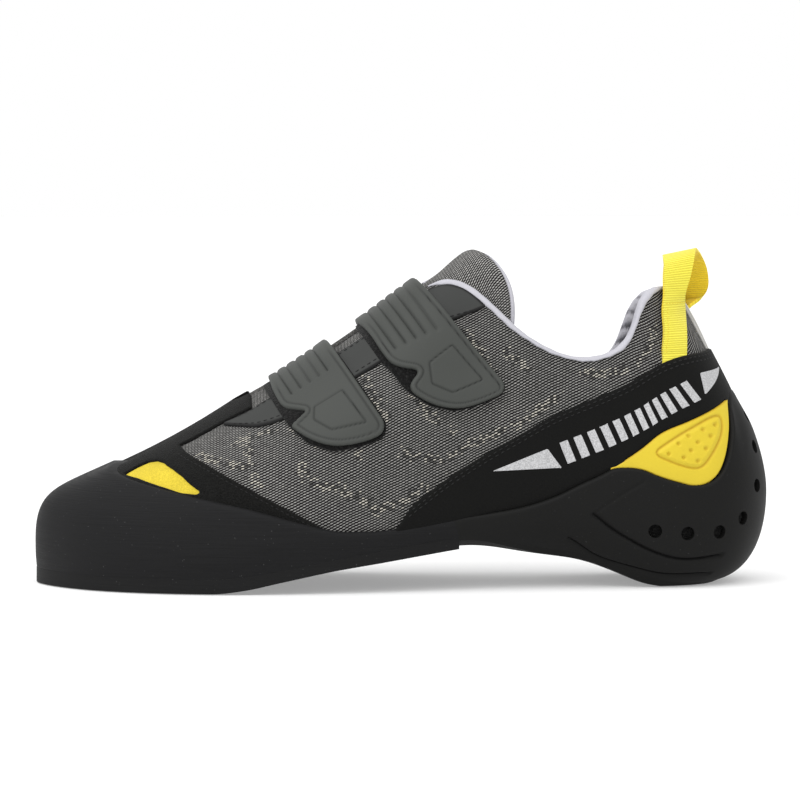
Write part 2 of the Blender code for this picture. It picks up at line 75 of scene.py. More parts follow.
Section = namedtuple(
    "Section",
    "side_x lateral medial side_z feather tuck turn top_x top_half top_z slope rise reach",
)
SECTIONS = [
    Section(125.5, 0.0, 0.0, 31.2, 3.5, 16.9, 4, 95.8, 0.0, 102.2, 63, 0.26, 0.34),
    Section(115.7, -21.0, 20.5, 31.8, 3.5, 14.4, 6, 90.0, 14.0, 103.4, 68, 0.28, 0.34),
    Section(98.0, -29.5, 28.5, 32.4, 4.0, 12.5, 10, 82.3, 20.5, 98.4, 78, 0.30, 0.34),
    Section(84.0, -30.8, 29.3, 32.4, 7.6, 11.0, 16, 76.6, 24.0, 85.4, 80, 0.32, 0.34),
    Section(69.0, -31.2, 28.8, 32.4, 12.6, 9.5, 24, 65.0, 26.5, 79.0, 80, 0.32, 0.34),
    Section(52.0, -31.8, 28.4, 32.4, 14.8, 8.0, 34, 51.5, 27.0, 81.0, 80, 0.32, 0.34),
    Section(36.0, -33.2, 29.2, 31.4, 16.9, 6.5, 45, 38.5, 25.5, 89.0, 78, 0.32, 0.34),
    Section(20.0, -35.6, 31.2, 30.4, 19.1, 5.0, 56, 28.5, 21.5, 98.6, 68, 0.32, 0.34),
    Section(4.0, -38.4, 34.2, 28.4, 17.6, 4.0, 63, 16.5, 16.0, 105.6, 48, 0.32, 0.36),
    Section(-14.0, -41.4, 37.8, 25.5, 14.6, 3.0, 68, 1.0, 12.5, 99.6, 36, 0.33, 0.38),
    Section(-36.0, -43.4, 41.2, 21.6, 10.4, 2.6, 72, -22.0, 10.5, 83.6, 28, 0.34, 0.40),
    Section(-60.0, -42.6, 43.0, 18.6, 6.2, 2.5, 74, -43.0, 9.0, 71.0, 26, 0.34, 0.42),
    Section(-84.0, -37.0, 42.6, 17.6, 5.5, 1.8, 75, -54.0, 6.5, 65.0, 28, 0.32, 0.48),
    Section(-105.0, -25.5, 38.6, 16.4, 5.5, 1.2, 78, -57.6, 3.6, 63.2, 30.8, 0.288, 0.61),
    Section(-118.8, -10.0, 29.4, 15.2, 5.5, 0.7, 82, -58.4, 1.6, 62.8, 33, 0.3, 0.72),
    Section(-125.6, 9.5, 9.5, 14.8, 5.5, 0.4, 84, -58.6, 0.0, 62.6, 34.8, 0.302, 0.778),
]
TOE = len(SECTIONS) - 1
RING = 2 * TOE
SIDE_SHARE = 0.25
EDGE_FULLNESS, SIDE_FULLNESS = 0.4, 0.45
ARCH_END = 22 / 3
FLOOR_DROP = 0.8

# Cut edges: share of the thickness at the edge itself, and distance over which the rest rises
Rounding = namedtuple("Rounding", "share radius")
RAND_EDGE, CUP_EDGE, BAND_EDGE = Rounding(0.3, 2.2), Rounding(0.55, 1.6), Rounding(0.45, 0.9)
INSERT_EDGE, OVERLAY_EDGE, STAY_EDGE = Rounding(0.55, 0.9), Rounding(0.5, 0.8), Rounding(0.4, 0.7)
STRAP_EDGE = Rounding(0.5, 0.9)
FOOTBED_EDGE = Rounding(0.55, 0.08)  # its distance is a share of the width

# Upper edge of the rubber: section number and height
RUBBER_EDGE = [
    (0.0, 66.6), (0.66, 63.5), (0.97, 53.1), (1.23, 44.0), (1.4, 39.4), (1.65, 36.2), (1.95, 35.5),
    (2.3, 36.7), (2.86, 39.2), (3.2, 41.1), (3.6, 41.8), (3.87, 41.4), (4.16, 39.2), (4.57, 36.2),
    (5.02, 32.6), (5.72, 29.1), (6.58, 26.9), (7.33, 25.2), (8.2, 22.8), (9.0, 21.2), (9.56, 21.6),
    (10.06, 24.4), (10.78, 28.9), (11.5, 32.3), (12.3, 35.6), (13.3, 38.5), (14.4, 41.0), (15.0, 41.6),
]

# Heel band: section number, lower and upper edge heights
Edge = namedtuple("Edge", "section low high")
BAND_EDGES = [
    Edge(0.0, 67.2, 81.0), Edge(0.6, 64.2, 80.5), Edge(1.4, 59.2, 79.3), Edge(1.8, 56.8, 77.8),
    Edge(2.6, 52.6, 73.8), Edge(3.2, 47.4, 70.6), Edge(3.9, 41.5, 66.8), Edge(5.0, 33.5, 60.4),
    Edge(5.9, 29.5, 53.0), Edge(6.4, 28.0, 48.8), Edge(7.3, 25.8, 40.2), Edge(8.1, 23.6, 31.0),
    Edge(26 / 3, 22.2, 24.0),
]
EDGE_GAP, BAND_LEAST = 0.6, 1.5
BAND_TUCK, BAND_END_TUCK = 0.8, 0.6  # depths below the rubber's edge where the band goes under it
INSERT_FROM, INSERT_SPAN, INSERT_GAP, INSERT_LEAST = 0.72, 3.2, 0.4, 0.3

# Height of the outsole's underside along the shoe
SOLE_LINE = [
    (-140.0, 0.0), (-68.0, 0.0), (-56.0, 1.3), (-44.0, 3.9), (-26.0, 7.6), (-8.0, 10.4), (7.0, 12.7),
    (17.0, 14.2), (25.0, 15.2),
]
SOLE_LIP, SOLE_GAP, SOLE_BEVEL = 0.08, 0.02, 0.15
INSOLE_SPREAD, INSOLE_GAP = 0.12, 0.8

# Tongue: throat sections that it lies under, then arched sections up to its rolled rim
Arch = namedtuple("Arch", "ridge_x ridge_z half drop lean bow tail")
TONGUE_SECTIONS = [12.3, 11.7, 11.0, 10.3, 9.6, 9.0]
TONGUE_TOE = Arch(-68.0, 53.2, 9.0, 1.0, 30, 0.0, 0.0)
TONGUE_ARCHES = [
    Arch(7.8, 104.0, 14.5, 10.5, 33, 0.0, 0.0),
    Arch(13.2, 108.2, 16.5, 15.0, 33, 0.6, 3.0),
    Arch(18.4, 112.8, 18.2, 20.0, 33, 1.8, 6.0),
    Arch(22.1, 115.4, 19.4, 23.0, 33, 2.8, 9.0),
    Arch(25.4, 116.0, 20.2, 25.0, 33, 3.4, 11.0),
]
TONGUE_TUCK, TONGUE_GAP, TONGUE_POINTS = 0.1, 1.6, 41
COVER_FROM = 7.4

# Straps: lean of the instep, depth of the axis that they turn about, their ridge points
INSTEP_LEAN, STRAP_AXIS_DEPTH, CROWN = 33.0, 42.0, 0.55
STRAP_RIDGES = {"strap_front": (-38.0, 76.0), "strap_rear": (-5.5, 99.0)}
STRAP_LIFTS = {"strap_front": 0.1, "strap_rear": 0.7}
STRAP_TILTS = {"strap_front": 0.045, "strap_rear": 0.015}  # rise towards the heel for one millimetre of shift
DEGREE = 0.76  # millimetres along the strap for one degree of turn

# Strap outlines: turn about the instep (negative is the outer side), shift along it, corner radius
Corner = namedtuple("Corner", "angle shift radius")
STRAP_OUTLINES = {
    "strap_front": [
        Corner(88, -11.0, 5.0), Corner(88, 12.5, 5.0), Corner(0, 15.0, 30.0), Corner(-74.5, 15.0, 2.6),
        Corner(-78.5, 12.0, 2.4), Corner(-76.8, 5.0, 9.0), Corner(-71.5, -4.0, 9.0),
        Corner(-62.0, -9.8, 7.0), Corner(-51.5, -12.6, 1.6), Corner(-48.8, -5.0, 1.2),
        Corner(-39.5, -11.2, 3.0), Corner(-26.0, -11.0, 8.0), Corner(0, -9.2, 30.0),
    ],
    "strap_rear": [
        Corner(90, -12.0, 5.0), Corner(90, 12.0, 5.0), Corner(0, 12.5, 30.0), Corner(-27.5, 13.0, 20.0),
        Corner(-96.5, 17.2, 2.6), Corner(-100.5, 14.6, 2.4), Corner(-96.8, 5.5, 9.0),
        Corner(-91.2, -2.2, 9.0), Corner(-80.0, -8.6, 7.0), Corner(-67.0, -12.2, 4.2),
        Corner(-62.2, -4.6, 3.0), Corner(-54.0, -11.6, 6.0), Corner(-45.0, -12.2, 6.0),
        Corner(-30.0, -11.6, 8.0), Corner(0, -13.2, 30.0),
    ],
}
STRAP_SHIELDS = {
    "strap_front": [(-49.5, 9.2), (-69.5, 9.8), (-64.2, -1.5), (-55.5, -4.6), (-49.5, -2.0)],
    "strap_rear": [(-57.5, 9.0), (-85.5, 11.2), (-81.8, 0.0), (-71.5, -4.2), (-61.0, -1.0)],
}
SHIELD_CORNER, SHIELD_RISE = 0.8, 0.12
RIB_SHIFTS = {
    "strap_front": [-6.0, -2.2, 1.6, 5.3, 8.8],
    "strap_rear": [-7.6, -3.7, 0.1, 3.8, 7.6],
}
RIB_SPANS = {"strap_front": (-36.0, 34.0), "strap_rear": (-48.0, 34.0)}
RIB_DEPTH, LINE_DEPTH = 0.75, 0.36
EDGE_LINE, EDGE_LINE_WIDTH, RAISED_EDGE = 1.9, 0.28, 0.18

# Pile pads under the straps, a little wider than the tabs, so that their black edge beside each tab also
# stands in for the contact shadow there: turn and shift
PAD_OUTLINES = {
    "strap_front": [
        (-6, -12.6), (-43, -13.0), (-52, -12.6), (-62.9, -10.8), (-73.0, -4.9), (-78.3, 4.7), (-80.0, 12.5),
        (-75, 15.5), (-22, 15.3), (-6, 10.0),
    ],
    "strap_rear": [
        (-4, -14.2), (-48, -14.2), (-57, -12.9), (-67, -12.6), (-80.4, -9.0), (-91.8, -2.5), (-97.3, 5.3),
        (-101.0, 14.8), (-96.8, 17.5), (-30, 13.3), (-4, 9.0),
    ],
}
PAD_CORNER, PAD_TOP, PAD_SEAT = 2.0, 1.15, 0.05

# Pull loop: rear and front edge of its legs as section numbers, lift off the last at each height, and tape
# above the rim
Leg = namedtuple("Leg", "rear front height lift")
Tape = namedtuple("Tape", "x y z heading tilt width")
OUTER_LEG = [
    Leg(1.4, 2.0, 73.5, 0.8), Leg(1.22, 1.84, 79.6, 0.95), Leg(1.14, 1.77, 82.6, 1.6),
    Leg(0.96, 1.6, 88.0, 2.1), Leg(0.62, 1.42, 95.0, 2.2),
]
INNER_LEG = [
    Leg(0.62, 1.3, 73.5, 0.8), Leg(0.56, 1.24, 79.6, 0.9), Leg(0.5, 1.18, 82.6, 1.2),
    Leg(0.4, 1.08, 88.0, 1.3), Leg(0.16, 0.86, 93.6, 1.5),
]
LOOP_TOP = [
    Tape(94.4, -16.8, 101.0, 32, 0, 9.2),
    Tape(95.2, -16.2, 107.0, 24, 4, 10.8),
    Tape(96.0, -14.2, 112.4, 18, 9, 11.8),
    Tape(96.4, -10.6, 115.0, 10, 11, 12.2),
    Tape(97.2, -6.0, 115.6, 4, 11, 12.2),
    Tape(99.6, -0.5, 113.4, 0, 8, 12.2),
    Tape(102.2, 3.5, 108.6, -4, 4, 12.0),
    Tape(103.2, 6.4, 102.8, -14, 0, 11.6),
    Tape(101.8, 9.2, 98.2, -30, 0, 10.6),
]
LOOP_WIDTH = 11.5

# Toe overlay: upper edge of its wings (section number, height), half width of its ridge strip along the
# shoe, its rear end and the sections of its yellow windows
OVERLAY, OVERLAY_LIFT, OVERLAY_SEAT, OVERLAY_FROM = 1.0, 0.05, 0.02, 9.45
WING_EDGE = [
    (9.5, 20.5), (9.71, 22.4), (10.06, 26.7), (10.43, 31.1), (10.96, 37.3), (11.62, 43.7), (12.2, 47.2),
    (12.52, 48.7), (12.7, 49.4), (13.4, 52.0),
]
STRIP_HALF = [(-86.0, 25.4), (-79.0, 21.8), (-72.0, 21.4), (-64.0, 20.4), (-53.0, 20.2)]
STRIP_END = -52.6
WINDOW = [
    (13.27, 38.9), (13.17, 41.4), (13.0, 43.2), (12.75, 43.8), (12.5, 43.4), (12.18, 41.6), (11.93, 39.5),
    (11.74, 37.0), (11.54, 34.6), (11.58, 33.6), (11.83, 34.0), (12.11, 35.5), (12.44, 36.9), (12.77, 38.1),
]
WINDOW_PITCH = 22.0  # millimetres of girth for one section at the toe
WINDOW_FACE, WINDOW_SEAT, WINDOW_MARGIN = 0.12, 0.04, 1.5

# Eyestay: section number, lower and upper shares of the last
STAY = 0.85
Stay = namedtuple("Stay", "section low high")
EYESTAY = [
    Stay(7.08, 0.968, 0.982), Stay(7.4, 0.915, 0.986), Stay(7.73, 0.868, 0.988), Stay(8.4, 0.795, 0.98),
    Stay(9.09, 0.752, 0.95), Stay(9.48, 0.741, 0.928), Stay(9.9, 0.726, 0.925), Stay(10.51, 0.712, 0.905),
    Stay(10.92, 0.726, 0.873), Stay(11.27, 0.765, 0.846), Stay(11.74, 0.818, 0.832),
]

# Heel cup: places of its holes, and lines of its grooves, as section number and height
HOLES = [(2.85, 20.3), (2.07, 19.3), (1.45, 19.5), (1.01, 23.7), (0.67, 34.1), (0.5, 46.7), (0.26, 56.6)]
HOLE_RADIUS, HOLE_FLOOR, HOLE_GAP = 2.4, 0.7, 0.05
CUP_GROOVES = [
    [(4.29, 26.4), (3.71, 20.2), (2.78, 13.6), (1.92, 10.8), (1.3, 11.9)],
    [(4.72, 19.2), (3.72, 12.4), (2.36, 6.8), (1.3, 6.5)],
    [(4.29, 26.4), (3.79, 31.9), (3.2, 36.9)],
]
GROOVE_DEPTHS, GROOVE_WIDTH = [0.95, 0.75, 0.3], 0.6
GROOVE_BEADS = [0.3, 0.18]  # radius of the black bead of painted shade in each of the two deep grooves
HEEL_HOLLOW, HOLLOW_REACH = 0.38, 16.0  # share of the wall that is hollowed at the back, and how far down

# Heel inserts: outline of the groove line and places of the dimples, as section number and height
INSERT_PITCH = 15.0
INSERT_PANEL = [
    (2.9, 46.4), (1.26, 58.6), (1.06, 58.4), (1.16, 52.8), (1.52, 45.2), (1.76, 41.0), (2.04, 41.4),
]
DIMPLES = [
    (2.45, 46.2), (2.16, 49.6), (1.89, 52.1), (1.56, 54.1), (1.28, 55.5), (2.1, 44.9), (1.91, 47.2),
    (1.73, 49.9), (1.44, 51.8), (1.81, 43.6), (1.6, 47.7),
]
PANEL_CORNER, PANEL_LINE, PANEL_RISE, DIMPLE_DEPTH = 4.5, 0.5, 0.35, 0.7

# Knit: pale yarn lines (section number, height) and soft creases (start, end, width, depth)
SLUBS = [
    [(11.87, 46.7), (11.44, 44.6), (10.9, 43.4)],
    [(11.2, 51.0), (10.67, 55.4)],
    [(11.0, 51.0), (10.84, 42.2), (10.7, 37.0)],
    [(10.12, 44.2), (9.95, 39.0), (9.48, 35.6), (8.99, 30.3)],
    [(9.73, 59.1), (9.38, 52.6), (9.2, 47.0)],
    [(9.3, 73.0), (9.0, 66.0), (8.8, 60.0)],
    [(8.3, 66.5), (7.8, 60.0), (7.34, 55.4)],
    [(8.4, 48.0), (8.06, 47.0), (7.63, 45.4), (6.77, 51.8), (5.86, 56.7)],
    [(5.86, 57.0), (5.4, 62.0), (4.94, 66.9)],
    [(8.89, 27.8), (8.4, 31.0), (7.9, 36.0)],
    [(7.4, 88.0), (6.9, 80.0), (6.6, 74.0)],
    [(6.3, 82.0), (5.7, 76.0)],
    [(4.3, 74.0), (3.66, 74.4), (3.1, 75.5)],
    [(2.6, 78.0), (2.14, 83.6), (1.81, 88.8)],
    [(10.3, 57.0), (9.9, 52.0)],
    [(7.3, 66.0), (6.5, 70.0)],
]
SLUB_CORE, SLUB_WIDTH = 0.4, 2.6
Crease = namedtuple("Crease", "start end width depth")
CREASES = [
    Crease((6.6, 78.0), (5.4, 60.0), 5.0, 0.55),
    Crease((7.2, 72.0), (6.6, 56.0), 5.0, 0.4),
    Crease((3.4, 76.0), (2.6, 78.5), 3.0, 0.45),
    Crease((1.9, 95.0), (1.0, 86.0), 3.5, 0.4),
    Crease((10.6, 54.0), (9.9, 40.0), 6.0, 0.45),
    Crease((9.6, 52.0), (8.7, 34.0), 6.0, 0.4),
    Crease((11.4, 50.0), (10.9, 46.0), 4.0, 0.3),
]
HEEL_FROM, HEEL_HALF, HEEL_LENGTH, HEEL_TURN = 60.0, 30.0, 45.0, 44.0  # the knit's turn round the heel
ROW, ROW_SLOPE, CROSS, CROSS_SLOPE = 0.86, 27.0, 0.92, -22.5  # its rising and falling rows

# Collar binding: rows of its section as distance off the wall and depth below the rim
COLLAR_PROFILE = [
    (0.04, 1.9), (0.55, 1.85), (0.85, 1.4), (0.95, 0.6), (0.8, -0.2), (0.2, -0.8), (-0.9, -1.15),
    (-2.0, -0.95), (-3.0, -0.2), (-3.7, 1.2), (-3.9, 3.2), (-3.6, 5.6), (-2.9, 7.6), (-2.24, 8.2),
    (-2.24, 4.0), (-2.24, 0.4), (-1.1, -0.04), (0.04, 0.4),
]
COLLAR_END = 8.56
# Shares of that depth outside the wall, and of that height above the rim
CollarRow = namedtuple("CollarRow", "section skirt crown")
COLLAR_ROWS = [
    CollarRow(0.0, 0.25, 0.35), CollarRow(0.9, 0.3, 0.4), CollarRow(1.6, 0.9, 0.9),
    CollarRow(2.4, 1.1, 1.0), CollarRow(3.0, 0.8, 1.0), CollarRow(3.6, 0.4, 1.0),
    CollarRow(4.6, 0.25, 1.0), CollarRow(5.4, 0.35, 1.0), CollarRow(6.2, 0.7, 1.0),
    CollarRow(7.2, 0.95, 1.0), CollarRow(8.56, 1.0, 1.0),
]
INNER_RIM = [
    (22.5, 1.0), (24.2, 0.975), (25.4, 0.945), (26.6, 0.915), (27.4, 0.94), (28.2, 0.96), (29.3, 0.99),
    (30.0, 1.0),
]
Pucker = namedtuple("Pucker", "section width depth")
PUCKERS = [
    Pucker(26.5, 0.07, 1.0), Pucker(26.85, 0.06, 1.3), Pucker(27.2, 0.06, 1.4), Pucker(27.55, 0.06, 1.4),
    Pucker(27.95, 0.07, 1.1), Pucker(28.5, 0.09, 0.8), Pucker(2.9, 0.1, 0.8), Pucker(2.4, 0.08, 0.9),
    Pucker(1.9, 0.08, 0.7),
]
FOLD_SKEW = 0.075  # sections that a fold moves for one millimetre below the rim
PIPING_LOW, PIPING_LENGTH, PIPING_HALF = 80.6, 20.2, 1.5

# Print on the band, as section number and height: a wedge at each end, and the two lines that hold the bars
PRINT_WEDGES = [
    [(6.48, 41.0), (5.24, 48.5), (4.94, 42.0)],
    [(1.14, 73.2), (0.38, 74.4), (1.24, 65.8)],
]
PRINT_LOW, PRINT_HIGH = [(1.38, 64.2), (4.96, 42.4)], [(1.38, 71.7), (4.96, 50.6)]
PRINT_FROM, PRINT_TO = 0.35, 6.55
PRINT_PITCH = 14.6  # millimetres of the band for one section
PRINT_BARS, BAR_SHARE, BAR_SLANT = 12, 0.58, 0.3
BAND_FALL = 0.85  # distance across the sloping band for one millimetre of height
PRINT_CORNER, PRINT_PROUD, PRINT_SUNK = 0.5, 0.12, 0.1


# Curves


def unit(vectors):
    return vectors / np.linalg.norm(vectors, axis=-1, keepdims=True)


def hermite(start, end, leave, arrive, u):
    """Smooth curve from start to end, with the slopes that it leaves and arrives with."""
    near = start * (1 + 2 * u) * (1 - u) ** 2 + leave * u * (1 - u) ** 2
    far = end * u**2 * (3 - 2 * u) + arrive * u**2 * (u - 1)
    return near + far


def ring_slopes(values):
    """Slopes of the smooth closed curve through evenly numbered values."""
    n = len(values)
    matrix = 4 * np.eye(n) + np.roll(np.eye(n), 1, axis=1) + np.roll(np.eye(n), -1, axis=1)
    rise = 3 * (np.roll(values, -1, axis=0) - np.roll(values, 1, axis=0))
    return np.linalg.solve(matrix, rise.reshape(n, -1)).reshape(values.shape)


def ring_value(values, slopes, t):
    """The closed curve at section numbers t."""
    first = np.floor(t).astype(int)
    u = (t - first).reshape((-1,) + (1,) * (values.ndim - 1))
    a, b = first % len(values), (first + 1) % len(values)
    return hermite(values[a], values[b], slopes[a], slopes[b], u)


def bezier(points, u):
    """Cubic curves with control points (n, 4, 3) at u (n)."""
    u = u[:, None]
    weights = [(1 - u) ** 3, 3 * u * (1 - u) ** 2, 3 * u**2 * (1 - u), u**3]
    return sum(weight * points[:, k] for k, weight in enumerate(weights))


def smooth_table(rows, at):
    """Columns of a table as smooth curves over its first column, with no overshoot between rows."""
    rows = np.asarray(rows, float)
    positions, values = rows[:, 0], rows[:, 1:]
    steps = np.diff(positions)[:, None]
    chords = np.diff(values, axis=0) / steps
    slopes = np.vstack([chords[:1], (chords[1:] + chords[:-1]) / 2, chords[-1:]])
    slopes[1:-1] = np.where(chords[1:] * chords[:-1] > 0, slopes[1:-1], 0.0)
    at = np.clip(np.asarray(at, float), positions[0], positions[-1])
    cell = np.clip(np.searchsorted(positions, at) - 1, 0, len(positions) - 2)
    step = steps[cell]
    u = ((at - positions[cell]) / step[:, 0])[:, None]
    return hermite(values[cell], values[cell + 1], slopes[cell] * step, slopes[cell + 1] * step, u)


def smooth_line(rows, at):
    """A table of two columns as one smooth curve."""
    return smooth_table(rows, at)[:, 0]


def smooth_step(low, high, x):
    u = np.clip((x - low) / (high - low), 0.0, 1.0)
    return u * u * (3 - 2 * u)


def bump(distance, width):
    """1 on a line, falling off smoothly over this width."""
    return np.exp(-((distance / width) ** 2))


def round_over(distance, radius):
    """Height share of an edge rounded over this radius, at a distance inside the edge."""
    u = 1 - np.clip(distance / radius, 0.0, 1.0)
    return np.sqrt(1 - u * u)


def edge_rise(distance, rounding):
    """Share of the full thickness at a distance inside a cut edge."""
    return rounding.share + (1 - rounding.share) * round_over(distance, rounding.radius)


def run_along(points):
    """Length along a line up to each of its points."""
    return np.concatenate([[0], np.cumsum(np.linalg.norm(np.diff(points, axis=0), axis=1))])


def read_along(at, positions, table):
    """Rows of a table at places between its positions."""
    return np.column_stack([np.interp(at, positions, column) for column in table.T])


# The last


def centre_y(x):
    """Middle of the last, which swings to the big toe in front of the instep."""
    return TOE_SWING * (np.maximum(0.0, SWING_FROM - x) / SWING_LENGTH) ** SWING_BEND


def section_net(row, side_y, sign):
    """Control points of one section: four for the lower curve and three more for the upper one."""
    side = np.array([row.side_x, side_y, row.side_z])
    top = np.array([row.top_x, centre_y(row.top_x) + sign * row.top_half, row.top_z])
    up = np.array([0.0, 0.0, 1.0])
    inward = unit((top - side) * [1.0, 1.0, 0.0])
    edge = side + inward * row.tuck + up * (row.feather - row.side_z)
    turn, slope = math.radians(row.turn), math.radians(row.slope)
    lower = row.side_z - row.feather
    edge_handle = EDGE_FULLNESS * math.hypot(row.tuck, lower)
    chord = np.linalg.norm(top - side)
    leave = edge + edge_handle * (up * math.sin(turn) - inward * math.cos(turn))
    below = side - up * SIDE_FULLNESS * lower
    above = side + up * row.rise * chord
    arrive = top - row.reach * chord * (inward * math.cos(slope) + up * math.sin(slope))
    return [edge, leave, below, side, above, arrive, top]


def ring_rows():
    """The sections as a closed ring: the outer side from heel to toe, then the inner side back."""
    outer = [(row, row.lateral, -1) for row in SECTIONS]
    inner = [(row, row.medial, 1) for row in SECTIONS[-2:0:-1]]
    return outer + inner


NET = np.array([section_net(*row) for row in ring_rows()])
NET_SLOPES = ring_slopes(NET)


def last_point(t, s):
    """Point of the last at section number t and share s of the way from lower edge to top."""
    net = ring_value(NET, NET_SLOPES, t)
    low = bezier(net[:, 0:4], np.minimum(s / SIDE_SHARE, 1.0))
    high = bezier(net[:, 3:7], np.clip((s - SIDE_SHARE) / (1 - SIDE_SHARE), 0.0, 1.0))
    return np.where((s < SIDE_SHARE)[:, None], low, high)


def last_normal(t, s):
    """Outward direction of the last."""
    step = 1e-3
    along = last_point(t + step, s) - last_point(t - step, s)
    rise = last_point(t, np.minimum(s + step, 1.0)) - last_point(t, np.maximum(s - step, 0.0))
    return unit(np.cross(rise, along))


def last_offset(t, s, distance):
    return last_point(t, s) + last_normal(t, s) * np.reshape(distance, (-1, 1))


def on_last(t, s, lift):
    """Points and normals along a line on the last, for thread."""
    return last_offset(t, s, lift), last_normal(t, s)


def share_at_height(t, z):
    """Share s at which section t reaches the height z."""
    low, high = np.zeros(len(t)), np.ones(len(t))
    for _ in range(16):
        middle = (low + high) / 2
        under = last_point(t, middle)[:, 2] < z
        low, high = np.where(under, middle, low), np.where(under, high, middle)
    return (low + high) / 2


def at_height(t, z, lift):
    """Points at a lift off the last, where its sections reach a height."""
    return last_offset(t, share_at_height(t, z), lift)


def section_number(t):
    """Distance round the ring from the heel's middle, the same on both sides."""
    t = np.mod(t, RING)
    return np.minimum(t, RING - t)


def on_side(t, sign):
    """The same section on the outer or the inner side."""
    return t if sign < 0 else RING - t


def both_sides(t, z):
    return np.concatenate([t, RING - t]), np.concatenate([z, z])


def rubber_height(t):
    return smooth_line(RUBBER_EDGE, section_number(t))


def rubber_share(t):
    return share_at_height(t, rubber_height(t))


def rim_share(t):
    """Share at which the upper ends: the top of the last, a little lower inside the heel."""
    return smooth_line(INNER_RIM, np.mod(t, RING))


def band_edges(t):
    """Lower and upper edge heights of the heel band, the lower one clear of the rubber."""
    low, high = smooth_table(BAND_EDGES, section_number(t)).T
    low = np.maximum(low, rubber_height(t) + EDGE_GAP)
    return low, np.maximum(high, low + BAND_LEAST)


def edge_gap(t, s, edge):
    """Distance of a point of the last from an edge at the same section."""
    return np.linalg.norm(last_point(t, s) - last_point(t, edge), axis=1)


def charted(rows, step=0.02):
    """Section numbers and heights along a charted line, on both sides of the shoe."""
    rows = np.array(rows, float)
    sections, heights = np.abs(np.diff(rows, axis=0)).sum(0)
    at = np.linspace(0, len(rows) - 1, max(2, int(sections / step) + int(heights)))
    return both_sides(*smooth_table(np.column_stack([np.arange(len(rows)), rows]), at).T)


def chart_points(rows, lift):
    return at_height(*charted(rows), lift)


def nearest(points, centres, block=4000):
    """Distance from each point to the nearest centre."""
    parts = []
    for start in range(0, len(points), block):
        apart = points[start : start + block, None] - centres[None]
        parts.append(np.sqrt((apart**2).sum(2).min(1)))
    return np.concatenate(parts)


# Outlines and surfaces


def rounded_outline(corners, steps=6):
    """Corners of (x, y, radius) as a closed outline with its corners rounded."""
    points = np.array([corner[:2] for corner in corners], float)
    outline = []
    for k, (here, corner) in enumerate(zip(points, corners)):
        back, ahead = points[k - 1] - here, points[(k + 1) % len(points)] - here
        reach = [min(corner[2], np.linalg.norm(side) * 0.48) for side in (back, ahead)]
        first, last = here + unit(back) * reach[0], here + unit(ahead) * reach[1]
        for u in np.linspace(0, 1, steps):
            outline.append(first * (1 - u) ** 2 + here * 2 * u * (1 - u) + last * u * u)
    return np.array(outline)


def chart_outline(rows, pitch, radius):
    """A charted outline in flat millimetres, with one radius at all its corners."""
    return rounded_outline([(row[0] * pitch, row[1], radius) for row in rows])


def outline_distance(points, outline, block=6000):
    """Distance to a closed outline, less than zero inside it."""
    start, end = outline, np.roll(outline, -1, axis=0)
    edge = end - start
    length = np.maximum((edge**2).sum(1), 1e-12)
    parts = []
    for first in range(0, len(points), block):
        p = points[first : first + block, None]
        along = np.clip(((p - start) * edge).sum(2) / length, 0.0, 1.0)
        gap = np.sqrt((((p - start) - along[..., None] * edge) ** 2).sum(2).min(1))
        over = (start[:, 1] > p[..., 1]) != (end[:, 1] > p[..., 1])
        rise = np.where(np.abs(edge[:, 1]) < 1e-12, 1e-12, edge[:, 1])
        crossing = start[:, 0] + (p[..., 1] - start[:, 1]) / rise * edge[:, 0]
        inside = (over & (p[..., 0] < crossing)).sum(1) % 2 == 1
        parts.append(np.where(inside, -gap, gap))
    return np.concatenate(parts)


def flat_box(outline, margin=0.5):
    """Places of a flat pattern that covers an outline."""
    low, high = outline.min(0) - margin, outline.max(0) + margin
    return lambda a, b: low + np.column_stack([b, a]) * (high - low)


class Net:
    """A smooth surface through a regular grid of points."""

    def __init__(self, points):
        self.points = np.asarray(points, float)
        self.rows, self.columns = self.points.shape[:2]

    @staticmethod
    def weights(u):
        return [
            -0.5 * u + u**2 - 0.5 * u**3,
            1 - 2.5 * u**2 + 1.5 * u**3,
            0.5 * u + 2 * u**2 - 1.5 * u**3,
            -0.5 * u**2 + 0.5 * u**3,
        ]

    def at(self, i, j):
        i = np.clip(i, 0, self.rows - 1.0)
        j = np.clip(j, 0, self.columns - 1.0)
        row = np.minimum(np.floor(i).astype(int), self.rows - 2)
        column = np.minimum(np.floor(j).astype(int), self.columns - 2)
        total = np.zeros((len(i), 3))
        for k, across in enumerate(self.weights(i - row)):
            for m, down in enumerate(self.weights(j - column)):
                near = np.clip(row + k - 1, 0, self.rows - 1)
                beside = np.clip(column + m - 1, 0, self.columns - 1)
                total += (across * down)[:, None] * self.points[near, beside]
        return total

    def normal(self, i, j, step=0.05):
        along = self.at(np.minimum(i + step, self.rows - 1), j) - self.at(np.maximum(i - step, 0), j)
        across = self.at(i, np.minimum(j + step, self.columns - 1)) - self.at(i, np.maximum(j - step, 0))
        return unit(np.cross(along, across))

    def offset(self, i, j, distance):
        return self.at(i, j) + self.normal(i, j) * np.reshape(distance, (-1, 1))


# Flat patterns and pieces

WELD = 0.004


def flat_pattern(columns, rows):
    """A flat grid from 0 to 1 both ways, which is cut before it is laid on the last."""
    bm = bmesh.new()
    bmesh.ops.create_grid(bm, x_segments=columns, y_segments=rows, size=0.5)
    bmesh.ops.translate(bm, verts=bm.verts, vec=(0.5, 0.5, 0.0))
    return bm


def flat_places(verts):
    return np.array([v.co[:2] for v in verts], float).T


